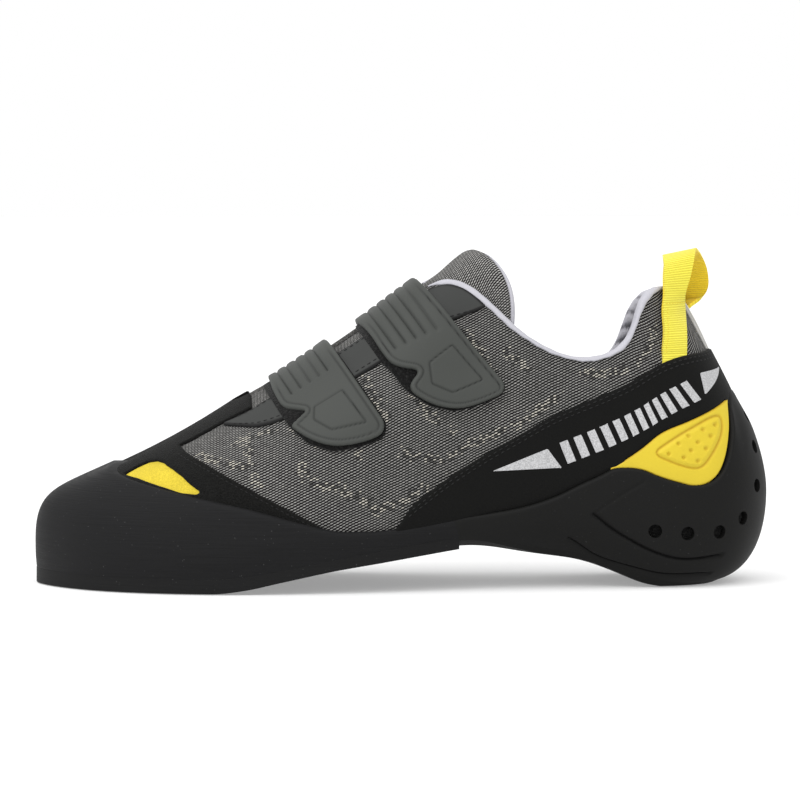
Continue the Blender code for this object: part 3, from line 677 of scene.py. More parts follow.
def cut_out(bm, outside):
    """Cut a flat pattern where outside(a, b) is zero and drop what lies above zero."""
    bm.verts.index_update()
    value = outside(*flat_places(bm.verts))
    crossed = []
    for edge in bm.edges:
        near, far = (value[v.index] for v in edge.verts)
        if near * far < 0:
            crossed.append((edge, edge.verts[0], min(max(near / (near - far), 0.02), 0.98)))
    line = [bmesh.utils.edge_split(edge, vert, share)[1] for edge, vert, share in crossed]
    bmesh.ops.connect_verts(bm, verts=line)
    middles = np.array([face.calc_center_median()[:2] for face in bm.faces], float).T
    dropped = [face for face, far in zip(list(bm.faces), outside(*middles)) if far > 0]
    bmesh.ops.delete(bm, geom=dropped, context="FACES")


def put_in_scene(name, data, place=(0.0, 0.0, 0.0), aim=None):
    """A new object, turned towards a point if one is given."""
    obj = bpy.data.objects.new(name, data)
    bpy.context.scene.collection.objects.link(obj)
    obj.location = place
    if aim:
        obj.rotation_euler = (Vector(aim) - Vector(place)).to_track_quat("-Z", "Y").to_euler()
    return obj


def mesh_of(name, bm, finishes):
    mesh = bpy.data.meshes.new(name)
    bm.to_mesh(mesh)
    bm.free()
    for finish in finishes:
        mesh.materials.append(finish.material)
    return mesh


def add_piece(name, bm, finishes, replaces=(), smooth_angle=50.0):
    """Turn a bmesh into a piece of the shoe."""
    mesh = mesh_of(name, bm, finishes)
    mesh.shade_smooth()
    mesh.set_sharp_from_angle(angle=math.radians(smooth_angle))
    obj = put_in_scene(name, mesh)
    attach(obj, "root")
    if replaces:
        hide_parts(*replaces)
    return obj


def lay(bm, outer, inner=None, pattern=None, marks=None, inner_finish=0):
    """Lay a flat pattern on its outer surface and, for a solid, a copy of it on the inner one."""
    marks = marks or {}
    chart = bm.loops.layers.uv.new("Pattern") if pattern else None
    for label in marks:
        bm.verts.layers.float.new(label)
    lower = set()
    if inner:
        grown = bmesh.ops.extrude_face_region(bm, geom=bm.faces[:], use_keep_orig=True)
        lower = {v for v in grown["geom"] if isinstance(v, bmesh.types.BMVert)}
    bm.verts.index_update()
    verts = list(bm.verts)
    a, b = flat_places(verts)
    under = np.array([v in lower for v in verts])
    points = np.empty((len(verts), 3))
    points[~under] = outer(a[~under], b[~under])
    if inner:
        points[under] = inner(a[under], b[under])
    if pattern:
        flat = pattern(a, b)
        for face in bm.faces:
            for loop in face.loops:
                loop[chart].uv = flat[loop.vert.index]
    layers = [bm.verts.layers.float[label] for label in marks]
    for layer, measure in zip(layers, marks.values()):
        for v, value in zip(verts, measure(a, b, points)):
            v[layer] = value
    for v, point in zip(verts, points):
        v.co = Vector(point * MM)
    for face in bm.faces:
        if lower.issuperset(face.verts):
            face.material_index = inner_finish
    bmesh.ops.remove_doubles(bm, verts=bm.verts, dist=WELD * MM)
    if inner:
        bmesh.ops.recalc_face_normals(bm, faces=bm.faces)
    return bm


def sweep(columns, rows, place, marks=None):
    """A tube of a closed profile along a line, with its ends filled."""
    bm = lay(flat_pattern(columns, rows), place, marks=marks)
    bmesh.ops.holes_fill(bm, edges=[edge for edge in bm.edges if edge.is_boundary], sides=0)
    bmesh.ops.recalc_face_normals(bm, faces=bm.faces)
    return bm


def ring_round(centre, out, side, turn):
    """Points at a turn from 0 to 1 round a centre, with these half axes."""
    angle = (turn * 2 * math.pi)[:, None]
    return centre + out * np.cos(angle) + side * np.sin(angle)


def tube(points, normals, radius):
    """A thin round bead along a line, pointed at both ends."""
    numbers = np.arange(len(points))
    side = unit(np.cross(normals, unit(np.gradient(points, axis=0))))

    def place(a, b):
        at = a * (len(points) - 1)
        middle, out, beside = (read_along(at, numbers, table) for table in (points, normals, side))
        size = (radius * round_over(np.minimum(a, 1 - a), 0.08) + 0.02)[:, None]
        return ring_round(middle, out * size, beside * size, b)

    return sweep(len(points) - 1, 8, place)


def joined(parts):
    """Several meshes as one."""
    bm = bmesh.new()
    for part in parts:
        spare = mesh_of("part", part, [])
        bm.from_mesh(spare)
        bpy.data.meshes.remove(spare)
    return bm


def stitches(name, lines, finish, length=1.9, gap=1.0, radius=0.24, sink=0.06):
    """Thread along lines of (points, normals), as rows of short raised stitches."""
    bm = bmesh.new()
    on_end = Matrix.Rotation(math.pi / 2, 4, "Y")
    for points, normals in lines:
        run = run_along(points)
        count = max(0, int((run[-1] - length) / (length + gap)) + 1)
        middle = np.arange(count) * (length + gap) + length / 2
        ahead, behind = (read_along(middle + shift, run, points) for shift in (length / 2, -length / 2))
        along = unit(ahead - behind)
        side = unit(np.cross(read_along(middle, run, normals), along))
        up = np.cross(along, side)
        places = read_along(middle, run, points) - up * sink
        axes = np.stack([along * length / 2, side * radius, up * radius], axis=2)
        for place, turn in zip(places * MM, axes * MM):
            matrix = Matrix.Translation(place) @ Matrix(turn).to_4x4() @ on_end
            bmesh.ops.create_uvsphere(bm, u_segments=4, v_segments=6, radius=1.0, matrix=matrix)
    return add_piece(name, bm, [finish], smooth_angle=180.0)


# Finishes


class Value:
    """A socket whose arithmetic adds nodes."""

    def __init__(self, finish, socket):
        self.finish, self.socket = finish, socket

    def math(self, operation, *values):
        return self.finish.node("Math", {"operation": operation}, dict(enumerate(values)))

    def __add__(self, other):
        return self.math("ADD", self, other)

    def __sub__(self, other):
        return self.math("SUBTRACT", self, other)

    def __mul__(self, other):
        return self.math("MULTIPLY", self, other)

    def __rsub__(self, other):
        return self.math("SUBTRACT", other, self)

    __radd__, __rmul__ = __add__, __mul__

    def floor(self):
        return self.math("FLOOR", self)

    def cos(self):
        return self.math("COSINE", self)

    def wave(self, pitch=1.0):
        """Cosine that repeats at this pitch."""
        return (self * (2 * math.pi / pitch)).cos()

    def between(self, low, high):
        """0 under low, 1 over high and smooth between them."""
        settings = {"interpolation_type": "SMOOTHSTEP"}
        return self.finish.node("MapRange", settings, {"Value": self, "From Min": low, "From Max": high})


def tint(colour, strength):
    return [min(1.0, channel * strength) for channel in colour]


class Finish:
    """A material whose node maths is written as expressions."""

    def __init__(self, name, **fixed):
        self.material = bpy.data.materials.new(name)
        self.material.use_nodes = True
        self.tree = self.material.node_tree
        self.shader = self.tree.nodes["Principled BSDF"]
        self.feed(**fixed)

    def put(self, value, socket):
        if isinstance(value, Value):
            self.tree.links.new(value.socket, socket)
        else:
            socket.default_value = value

    def feed(self, **sockets):
        """Set or link the shader's sockets."""
        for word, value in sockets.items():
            self.put(value, self.shader.inputs[word.replace("_", " ").title().replace("Ior", "IOR")])

    def node(self, kind, settings=None, inputs=None, output=0):
        made = self.tree.nodes.new("ShaderNode" + kind)
        for word, setting in (settings or {}).items():
            setattr(made, word, setting)
        for word, value in (inputs or {}).items():
            self.put(value, made.inputs[word])
        return Value(self, made.outputs[output])

    def mix(self, first, second, share):
        """Colour between two colours."""
        paint = [value if isinstance(value, Value) else (*value, 1.0) for value in (first, second)]
        return self.node("Mix", {"data_type": "RGBA"}, {0: share, 6: paint[0], 7: paint[1]}, output=2)

    def tones(self, colour, dim, bright, share):
        """One colour between two strengths of it."""
        return self.mix(tint(colour, dim), tint(colour, bright), share)

    def axes(self, vector):
        split = self.node("SeparateXYZ", None, {0: vector})
        return [Value(self, output) for output in split.socket.node.outputs]

    @functools.cached_property
    def where(self):
        """Position on the shoe in metres."""
        return self.node("TexCoord", output="Object")

    def pattern(self):
        """Position on the piece's own flat pattern in millimetres."""
        return self.axes(self.node("UVMap", {"uv_map": "Pattern"}))[:2]

    def point(self, x, y, z=0.0):
        return self.node("CombineXYZ", None, {0: x, 1: y, 2: z})

    def mark(self, label):
        return self.node("Attribute", {"attribute_name": label}, output="Fac")

    def noise(self, vector, scale, detail=2.0, roughness=0.5):
        words = {"Vector": vector, "Scale": scale, "Detail": detail, "Roughness": roughness}
        return self.node("TexNoise", None, words)

    def chance(self, vector):
        """A random number for each place."""
        return self.node("TexWhiteNoise", {"noise_dimensions": "3D"}, {"Vector": vector})

    def relief(self, height, depth):
        """Bump of this depth in millimetres."""
        self.feed(normal=self.node("Bump", None, {"Strength": 1.0, "Distance": depth * MM, "Height": height}))


BLACK, DUST, PALE_YARN = (0.0, 0.0, 0.0), (0.09, 0.09, 0.09), (0.6, 0.57, 0.5)


def knit_finish(name, yarn, gap):
    """Close flat knit: stitches where rising and falling rows meet, with pale slubs along charted lines."""
    finish = Finish(name, roughness=0.9, sheen_weight=0.05, sheen_roughness=0.6, specular_ior_level=0.12)
    u, v = finish.pattern()
    flat = finish.point(u, v)
    sway = finish.noise(flat, 0.09) * 1.4

    def rows(pitch, slope):
        turn = math.radians(slope)
        return (v * math.cos(turn) - u * math.sin(turn) + sway) * (1 / pitch)

    rising, falling = rows(ROW, ROW_SLOPE), rows(CROSS, CROSS_SLOPE)
    height = rising.wave() * 0.33 + falling.wave() * 0.16 + 0.5
    luck = finish.chance(finish.point((rising + 0.5).floor(), (falling + 0.5).floor()))
    broken = finish.mark("slub") * finish.noise(flat, 0.13, 1.0).between(0.26, 0.42)
    pale = (luck + broken * 0.52).between(0.98, 1.05)
    dark = (broken * 0.3 - luck).between(-0.02, 0.05)
    thread = finish.tones(yarn, 0.65, 1.4, finish.noise(flat, 0.05, 3.0) * 0.5 + luck * 0.5)
    thread = finish.mix(thread, PALE_YARN, pale * 0.9)
    thread = finish.mix(thread, gap, dark * 0.55)
    finish.feed(base_color=finish.mix(gap, thread, height.between(0.48, 0.86)))
    finish.relief(height + pale * 0.3, 0.26)
    return finish


def rubber_finish(name, colour, gloss=0.5, brushed=0.0, specks=0.6):
    """Moulded rubber with fine grain, pale dust and, where it was ground, faint level lines, black with
    painted shade in its marked grooves.
    """
    finish = Finish(name, specular_ior_level=0.13)
    x, y, z = finish.axes(finish.where)
    grain = finish.noise(finish.where, 2600.0)
    cloud = finish.noise(finish.where, 45.0, 3.0)
    lines = finish.noise(finish.point(x * 50.0, y * 50.0, z * 2400.0), 1.0, 3.0).between(0.3, 0.7)
    dust = finish.noise(finish.where, 1300.0, 1.0).between(0.74, 0.8) * specks
    tone = cloud * 0.6 + grain.between(0.3, 0.7) * 0.25 + lines * brushed
    paint = finish.mix(finish.tones(colour, 0.75, 1.35, tone), DUST, dust)
    paint = finish.mix(paint, tint(colour, 1.25), finish.mark("ground"))
    # Painted shade: black in the grooves that are marked
    paint = finish.mix(paint, BLACK, finish.mark("painted_shade_and_seams") * 0.85)
    finish.feed(base_color=paint, roughness=cloud * 0.16 + lines * (0.12 * brushed) + gloss)
    finish.relief(grain * 0.5 + lines * (1.2 * brushed) + dust * 0.3, 0.07)
    return finish


def suede_finish(name, colour, roughness=0.9, grain_depth=0.12, contrast=0.5, spread=0.5):
    """Short nap that shades in soft patches, crisper with a small spread."""
    finish = Finish(name, sheen_weight=0.03, sheen_roughness=0.5, specular_ior_level=0.1)
    nap = finish.noise(finish.where, 1900.0, 3.0, 0.6).between(0.5 - spread, 0.5 + spread)
    patch = finish.noise(finish.where, 120.0, 3.0)
    paint = finish.tones(colour, 1 - contrast, 1 + contrast, nap * 0.6 + patch * 0.4)
    finish.feed(base_color=paint, roughness=patch * 0.1 + (roughness - 0.05))
    finish.relief(nap, grain_depth)
    return finish


def moulded_finish(name, colour, gloss, deep, painted_shade_and_seams=0.75):
    """Smooth moulded skin, with a painted highlight along marked edges and painted shade in a deep tone where
    it is marked.
    """
    finish = Finish(name, specular_ior_level=0.25)
    grain = finish.noise(finish.where, 1500.0, 3.0, 0.6)
    cloud = finish.noise(finish.where, 60.0, 3.0)
    paint = finish.tones(colour, 0.88, 1.12, cloud * 0.7 + grain * 0.3)
    # Painted highlight: paler along the marked edges
    paint = finish.mix(paint, tint(colour, 1.45), finish.mark("painted_edge_highlight") * 0.6)
    # Painted shade: the deep tone where marked
    paint = finish.mix(paint, deep, finish.mark("painted_shade_and_seams") * painted_shade_and_seams)
    finish.feed(base_color=paint, roughness=grain * 0.12 + cloud * 0.08 + gloss)
    finish.relief(grain, 0.045)
    return finish


def tape_finish(name, bright, shade, inner, rib=0.82, yarn=0.55):
    """Ribbed webbing: ribs across the tape with painted shade between them, and a warmer painted shade on its
    inner face.
    """
    finish = Finish(name, roughness=0.8, sheen_weight=0.2, sheen_roughness=0.5, specular_ior_level=0.25)
    u, v = finish.pattern()
    ribs = v.wave(rib) * 0.5 + 0.5
    twist = (u * (2 * math.pi / yarn) + v * 3.0).cos() * 0.5 + 0.5
    height = ribs * 0.8 + twist * 0.2
    paint = finish.mix(shade, bright, height.between(0.05, 0.6))
    paint = finish.mix(paint, tint(bright, 0.9), finish.noise(finish.point(u, v), 0.3, 3.0) * 0.4)
    # Painted shade on the inner face of the tape
    finish.feed(base_color=finish.mix(paint, inner, finish.mark("inside") * (height * 0.3 + 0.6)))
    finish.relief(height, 0.22)
    return finish


def lining_finish(name, colour):
    """Soft pale lining with a fine brushed knit."""
    finish = Finish(name, roughness=0.92, sheen_weight=0.05, sheen_roughness=0.5, specular_ior_level=0.15)
    fibre = finish.noise(finish.where, 1400.0, 3.0, 0.65)
    paint = finish.tones(colour, 0.82, 1.1, fibre * 0.6 + finish.noise(finish.where, 90.0) * 0.4)
    # Painted shade on the collar's inner face and in its puckers where marked; on the piping the mark gives
    # its grey seam lines
    finish.feed(base_color=finish.mix(paint, tint(colour, 0.35), finish.mark("painted_shade_and_seams") * 0.8))
    finish.relief(fibre + finish.noise(finish.where, 330.0, 1.0) * 2.5, 0.14)
    return finish


def print_finish(name):
    """Silver ink with a fine broken grain."""
    finish = Finish(name, metallic=0.25, specular_ior_level=0.5)
    grain = finish.noise(finish.where, 2400.0, 2.0, 0.6)
    paint = finish.mix((0.3, 0.3, 0.305), (0.52, 0.52, 0.53), grain.between(0.3, 0.7))
    finish.feed(base_color=paint, roughness=grain * 0.25 + 0.35)
    finish.relief(grain, 0.06)
    return finish


def pile_finish(name):
    """Black looped pile."""
    finish = Finish(name, roughness=0.95, sheen_weight=0.1, specular_ior_level=0.15)
    pile = finish.noise(finish.where, 1100.0, 3.0, 0.7)
    finish.feed(base_color=finish.mix((0.002, 0.002, 0.002), (0.02, 0.02, 0.019), pile.between(0.45, 0.8)))
    finish.relief(pile, 0.5)
    return finish


def thread_finish(name, colour):
    finish = Finish(name, roughness=0.65, specular_ior_level=0.3)
    finish.feed(base_color=finish.tones(colour, 0.7, 1.3, finish.noise(finish.where, 3000.0)))
    return finish


KNIT = knit_finish("grey_knit", (0.26, 0.255, 0.245), (0.003, 0.003, 0.003))
TONGUE_KNIT = knit_finish("tongue_knit", (0.37, 0.362, 0.348), (0.004, 0.004, 0.004))
TOE_RUBBER = rubber_finish("ground_rubber", (0.0066, 0.0066, 0.007), 0.51, brushed=0.7)
HEEL_RUBBER = rubber_finish("moulded_rubber", (0.0055, 0.0055, 0.0052), 0.52, specks=0.25)
SOLE_RUBBER = rubber_finish("sole_rubber", (0.0068, 0.0068, 0.007), 0.55, brushed=0.4)
# Black rubber for beads of painted shade in the heel cup's grooves
GROOVE_SHADE_RUBBER = rubber_finish("groove_shade_rubber", (0.001, 0.001, 0.001), 0.8, specks=0.0)
BLACK_SUEDE = suede_finish("black_suede", (0.0056, 0.0056, 0.0052), 0.9, 0.2, contrast=0.9, spread=0.2)
KNIT_EDGE = suede_finish("knit_edge", (0.13, 0.127, 0.122), 0.95, 0.3, contrast=0.8, spread=0.16)
BAND_SKIN = suede_finish("band_skin", (0.004, 0.004, 0.0037), 0.8, 0.05)
YELLOW_FABRIC = suede_finish("yellow_window", (0.56, 0.435, 0.036), 0.75, 0.05)
FOOTBED = suede_finish("footbed", (0.04, 0.04, 0.045), 0.95, 0.2)
# Moulded skins: colour, gloss, the deep tone of their painted shade and its strength
STAY_SKIN = moulded_finish("eyestay_skin", (0.0275, 0.029, 0.0275), 0.5, (0.002, 0.002, 0.002), 0.95)
STRAP_SKIN = moulded_finish("strap_skin", (0.043, 0.046, 0.042), 0.5, (0.012, 0.013, 0.012))
YELLOW_RUBBER = moulded_finish("yellow_rubber", (0.59, 0.45, 0.026), 0.45, (0.4, 0.22, 0.006), 0.85)
# Webbing colours: its ribs, the painted shade between them and the warmer painted shade of its inner face
WEBBING = tape_finish("yellow_webbing", (0.81, 0.74, 0.072), (0.56, 0.44, 0.018), (0.9, 0.6, 0.008))
LINING = lining_finish("pale_lining", (0.36, 0.356, 0.39))
BINDING = lining_finish("pale_binding", (0.45, 0.446, 0.485))
PIPING = lining_finish("white_piping", (0.62, 0.61, 0.585))
SILVER = print_finish("silver_ink")
PILE = pile_finish("black_pile")
BLACK_THREAD = thread_finish("black_thread", (0.006, 0.006, 0.006))
YELLOW_THREAD = thread_finish("yellow_thread", (0.7, 0.52, 0.04))


# Upper, rubber and sole


def knit_pattern(t, s):
    """Flat pattern of the knit: length along the shoe and round the heel, girth from the widest line."""
    x, y, _ = last_point(t, s).T
    wrap = np.arctan2(np.abs(y) / HEEL_HALF, np.maximum(x - HEEL_FROM, 0.0) / HEEL_LENGTH)
    along = np.where(x < HEEL_FROM, x, HEEL_FROM + HEEL_TURN * (math.pi / 2 - wrap))
    side = np.full(len(s), SIDE_SHARE)
    girth, before = np.zeros(len(s)), last_point(t, side)
    level = before[:, 2]
    for share in np.linspace(0, 1, 13)[1:]:
        here = last_point(t, side + (s - side) * share)
        girth += np.linalg.norm(here - before, axis=1)
        before = here
    return np.column_stack([along, level + np.sign(s - side) * girth])


def crease_depth(points):
    """How far the knit sinks into the charted creases."""
    depth = np.zeros(len(points))
    for crease in CREASES:
        line = chart_points([crease.start, crease.end], 0.0)
        depth += crease.depth * np.exp(-((nearest(points, line) / crease.width) ** 2) * 2.5)
    return depth


def slub_share(a, b, points):
    lines = np.vstack([chart_points(rows, 0.0) for rows in SLUBS])
    return 1 - smooth_step(SLUB_CORE, SLUB_WIDTH, nearest(points, lines))


def make_upper():
    """Hollow knit upper, open at the collar and throat and underneath, with a pale lining."""
    above_rows, below_rows = 62, 12
    line = above_rows / (above_rows + below_rows)

    def where(a, b):
        t = a * RING
        edge, rim = rubber_share(t), rim_share(t)
        above = rim + (edge - rim) * b / line
        below = edge * np.clip((1 - b) / (1 - line), 0.0, 1.0) ** 1.5
        return t, np.where(b <= line, above, below)

    def place(a, b):
        t, s = where(a, b)
        points = last_point(t, s)
        return points - last_normal(t, s) * crease_depth(points)[:, None]

    bm = flat_pattern(RING * 17, above_rows + below_rows)
    lay(bm, place, pattern=lambda a, b: knit_pattern(*where(a, b)), marks={"slub": slub_share})
    upper = add_piece("upper_knit", bm, [KNIT, LINING, KNIT_EDGE], ["upper"])
    wall = upper.modifiers.new("Wall", "SOLIDIFY")
    wall.thickness, wall.offset = WALL * MM, -1.0
    wall.material_offset, wall.material_offset_rim = 1, 2


def make_toe_rand():
    """Rubber wall round the forefoot, rounded over at its upper edge."""

    def where(a, b):
        t = ARCH_END + a * (RING - 2 * ARCH_END)
        edge = rubber_share(t)
        return t, edge * np.clip(1 - b, 0.0, 1.0) ** 1.3, edge

    def outer(a, b):
        t, s, edge = where(a, b)
        return last_offset(t, s, GAP + RAND * edge_rise(edge_gap(t, s, edge), RAND_EDGE))

    bm = lay(flat_pattern(360, 40), outer, lambda a, b: last_offset(*where(a, b)[:2], GAP))
    add_piece("toe_rand_rubber", bm, [TOE_RUBBER], ["toe_rand"])


def spine_point(t):
    """Middle of the shoe's lower edges at section t, stopping short of the back of the heel."""
    low = np.zeros_like(t)
    point = (last_point(t, low) + last_point(RING - t, low)) / 2
    point[:, 0] = np.minimum(point[:, 0], SPINE_REAR)
    return point


def cup_marks(points):
    """Distance from the nearest hole and depth of the grooves at points of the heel cup's face."""
    holes = nearest(points, at_height(*both_sides(*np.array(HOLES).T), GAP + CUP))
    depth = np.zeros(len(points))
    for rows, deep in zip(CUP_GROOVES, GROOVE_DEPTHS):
        depth = np.maximum(depth, deep * bump(nearest(points, chart_points(rows, GAP + CUP)), GROOVE_WIDTH))
    return holes, depth


def make_heel_cup():
    """Moulded heel and arch with holes and grooves, and a floor under the heel."""
    wall_rows, floor_rows = 90, 8
    rows = wall_rows + floor_rows
    line = wall_rows / rows
    end = ARCH_END

    def where(a, b):
        t = (2 * a - 1) * end
        edge = rubber_share(t)
        s = edge * np.clip(1 - b / line, 0.0, 1.0) ** 1.2
        inwards = np.clip((b - line) / (1 - line), 0.0, 1.0)[:, None]
        return t, s, edge, inwards

    def surface(a, b, lift, drop):
        """Wall at a lift off the last, then a floor at a drop under it."""
        t, s, edge, inwards = where(a, b)
        wall = last_offset(t, s, lift(t, s, edge))
        floor = last_point(t, np.zeros_like(t)) * (1 - inwards) + spine_point(t) * inwards
        floor[:, 2] -= drop
        if drop > CUP:
            wall[:, 2] -= FLOOR_DROP * np.clip(1 - s / 0.02, 0.0, 1.0)
        points = np.where(inwards > 0, floor, wall)
        points[:, 2] = np.maximum(points[:, 2], 0.0)
        return points

    def level(lift):
        """The same lift off the last on the wall and under the floor."""
        return lambda a, b: surface(a, b, lambda t, s, edge: lift, lift)

    def face(a, b):
        return last_offset(*where(a, b)[:2], GAP + CUP)

    def outer(a, b):
        def lift(t, s, edge):
            inside = edge_gap(t, s, edge)
            joint = smooth_step(end - 0.6, end, np.abs(t))
            rise = np.minimum(edge_rise(inside, CUP_EDGE), 1 - joint * (1 - edge_rise(inside, RAND_EDGE)))
            rise -= HEEL_HOLLOW * smooth_step(1.0, 0.6, np.abs(t)) * smooth_step(HOLLOW_REACH, 1.0, inside)
            thickness = CUP + (RAND - CUP) * smooth_step(end - 1.2, end, np.abs(t))
            return GAP + thickness * rise - cup_marks(last_offset(t, s, GAP + CUP))[1]

        return surface(a, b, lift, GAP + CUP + FLOOR_DROP)

    # Painted shade in the grooves, deeper with their depth
    def grooved(a, b, points):
        return np.clip(cup_marks(face(a, b))[1] / GROOVE_DEPTHS[0], 0.0, 1.0) ** 2

    def ground(a, b, points):
        return smooth_step(end - 2.2, end, np.abs(where(a, b)[0]))

    bm = flat_pattern(410, rows)
    cut_out(bm, lambda a, b: HOLE_RADIUS - cup_marks(face(a, b))[0])
    lay(bm, outer, level(GAP + HOLE_FLOOR), marks={"painted_shade_and_seams": grooved, "ground": ground})
    add_piece("heel_cup_rubber", bm, [HEEL_RUBBER], ["heel_cup"])
    bm = lay(flat_pattern(110, 26), level(GAP + HOLE_FLOOR - HOLE_GAP), level(GAP))
    add_piece("heel_cup_base", bm, [PILE])

    # Black beads along the two deep grooves: painted shade
    beads = []
    for line_rows, deep, radius in zip(CUP_GROOVES, GROOVE_DEPTHS, GROOVE_BEADS):
        for t, z in zip(*(np.split(values, 2) for values in charted(line_rows))):
            beads.append(tube(*on_last(t, share_at_height(t, z), GAP + CUP - deep + 0.1), radius))
    add_piece("heel_cup_groove_shade", joined(beads), [GROOVE_SHADE_RUBBER])


def make_outsole():
    """Front outsole with a flat tread face, ending in a step under the arch."""
    rim_rows, floor_rows = 2, 8
    rows = 2 * rim_rows + floor_rows
    rim = rim_rows / rows

    def seat(at):
        return last_point(at, np.zeros_like(at))

    def outline(at):
        out = last_normal(at, np.zeros_like(at))
        return seat(at) + out * (GAP + RAND) + unit(out * [1.0, 1.0, 0.0]) * SOLE_LIP

    def outer(a, b):
        t = ARCH_END + a * (TOE - ARCH_END)
        across = np.clip((b - rim) / (1 - 2 * rim), 0.0, 1.0)[:, None]
        points = seat(t) * (1 - across) + seat(RING - t) * across
        for edge, depth in ((t, b), (RING - t, 1 - b)):
            share = np.clip(1 - depth / rim, 0.0, 1.0)[:, None]
            points = np.where(share > 0, outline(edge) * share + seat(edge) * (1 - share), points)
        points[:, 2] -= SOLE_GAP
        return points

    def inner(a, b):
        points = outer(a, b)
        points[:, 2] = smooth_line(SOLE_LINE, points[:, 0])
        return points

    bm = lay(flat_pattern(160, rows), outer, inner)
    sole = add_piece("outsole_rubber", bm, [SOLE_RUBBER], ["outsole"])
    rounding = sole.modifiers.new("Rounded edge", "BEVEL")
    rounding.width, rounding.segments = SOLE_BEVEL * MM, 2
    rounding.limit_method, rounding.angle_limit = "ANGLE", math.radians(50)


def make_insole():
    """Footbed inside the upper."""

    def edge(t):
        flat = last_normal(t, np.zeros_like(t))[:, 2] ** 2
        return last_offset(t, INSOLE_SPREAD * flat, -(WALL + INSOLE_GAP))

    def inner(a, b):
        return edge(a * TOE) * (1 - b)[:, None] + edge(RING - a * TOE) * b[:, None]

    def outer(a, b):
        points = inner(a, b)
        points[:, 2] += INSOLE * edge_rise(np.minimum(b, 1 - b), FOOTBED_EDGE)
        return points

    add_piece("footbed", lay(flat_pattern(90, 30), outer, inner), [FOOTBED], ["insole"])


# Heel band and inserts


def make_heel_band():
    """Tension band from the arch up round the back of the heel."""
    end = BAND_EDGES[-1].section

    def where(a, b):
        """Section, height and distance inside the edges."""
        t = (2 * a - 1) * end
        low, high = band_edges(t)
        rubber = rubber_height(t)
        low = low + (rubber - BAND_TUCK - low) * smooth_step(2.6, 1.4, low - rubber)
        high = high + (rubber - BAND_END_TUCK - high) * smooth_step(end - 0.55, end, np.abs(t))
        return t, high + (low - high) * b, np.minimum(b, 1 - b) * (high - low)

    def outer(a, b):
        t, z, inside = where(a, b)
        return at_height(t, z, GAP + BAND * edge_rise(inside, BAND_EDGE))

    bm = lay(flat_pattern(380, 22), outer, lambda a, b: at_height(*where(a, b)[:2], GAP))
    add_piece("heel_band_skin", bm, [BAND_SKIN], ["heel_band"])


def make_band_print():
    """Row of slanted silver bars between two wedges, on each side of the band."""
    wedges = [chart_outline(wedge, PRINT_PITCH, PRINT_CORNER) for wedge in PRINT_WEDGES]
    first, last = PRINT_LOW[0][0], PRINT_LOW[-1][0]
    pitch = (last - first) / PRINT_BARS * PRINT_PITCH

    def where(a, b):
        t = PRINT_FROM + a * (PRINT_TO - PRINT_FROM)
        low, high = band_edges(t)
        return t, high + (low - high) * b

    def outside(a, b):
        t, z = where(a, b)
        low, high = smooth_line(PRINT_LOW, t), smooth_line(PRINT_HIGH, t)
        slant = (z - (low + high) / 2) * BAR_SLANT / PRINT_PITCH
        number = (t - slant - first) / (last - first) * PRINT_BARS
        bar = (np.abs(number % 1.0 - 0.5) - BAR_SHARE / 2) * pitch
        bar = np.maximum(bar, np.maximum(low - z, z - high) * BAND_FALL)
        bars = np.maximum(bar, np.maximum(-number, number - PRINT_BARS) * pitch)
        flat = np.column_stack([t * PRINT_PITCH, z])
        return np.min([bars] + [outline_distance(flat, wedge) for wedge in wedges], axis=0)

    def place(sign, lift):
        def laid(a, b):
            t, z = where(a, b)
            return at_height(on_side(t, sign), z, lift)

        return laid

    for label, sign in SIDES:
        bm = flat_pattern(260, 56)
        cut_out(bm, outside)
        lay(bm, place(sign, GAP + BAND + PRINT_PROUD), place(sign, GAP + BAND - PRINT_SUNK))
        add_piece("band_print_" + label, bm, [SILVER])


def make_band_thread():
    """Double row of stitches along the band's upper edge."""
    lines = []
    for _, sign in SIDES:
        t = on_side(np.linspace(0.35, 8.3, 400), sign)
        for inset in (1.3, 2.7):
            lines.append(on_last(t, share_at_height(t, band_edges(t)[1] - inset), GAP + BAND + 0.04))
    stitches("band_thread", lines, BLACK_THREAD, length=1.5, gap=0.8, radius=0.26)


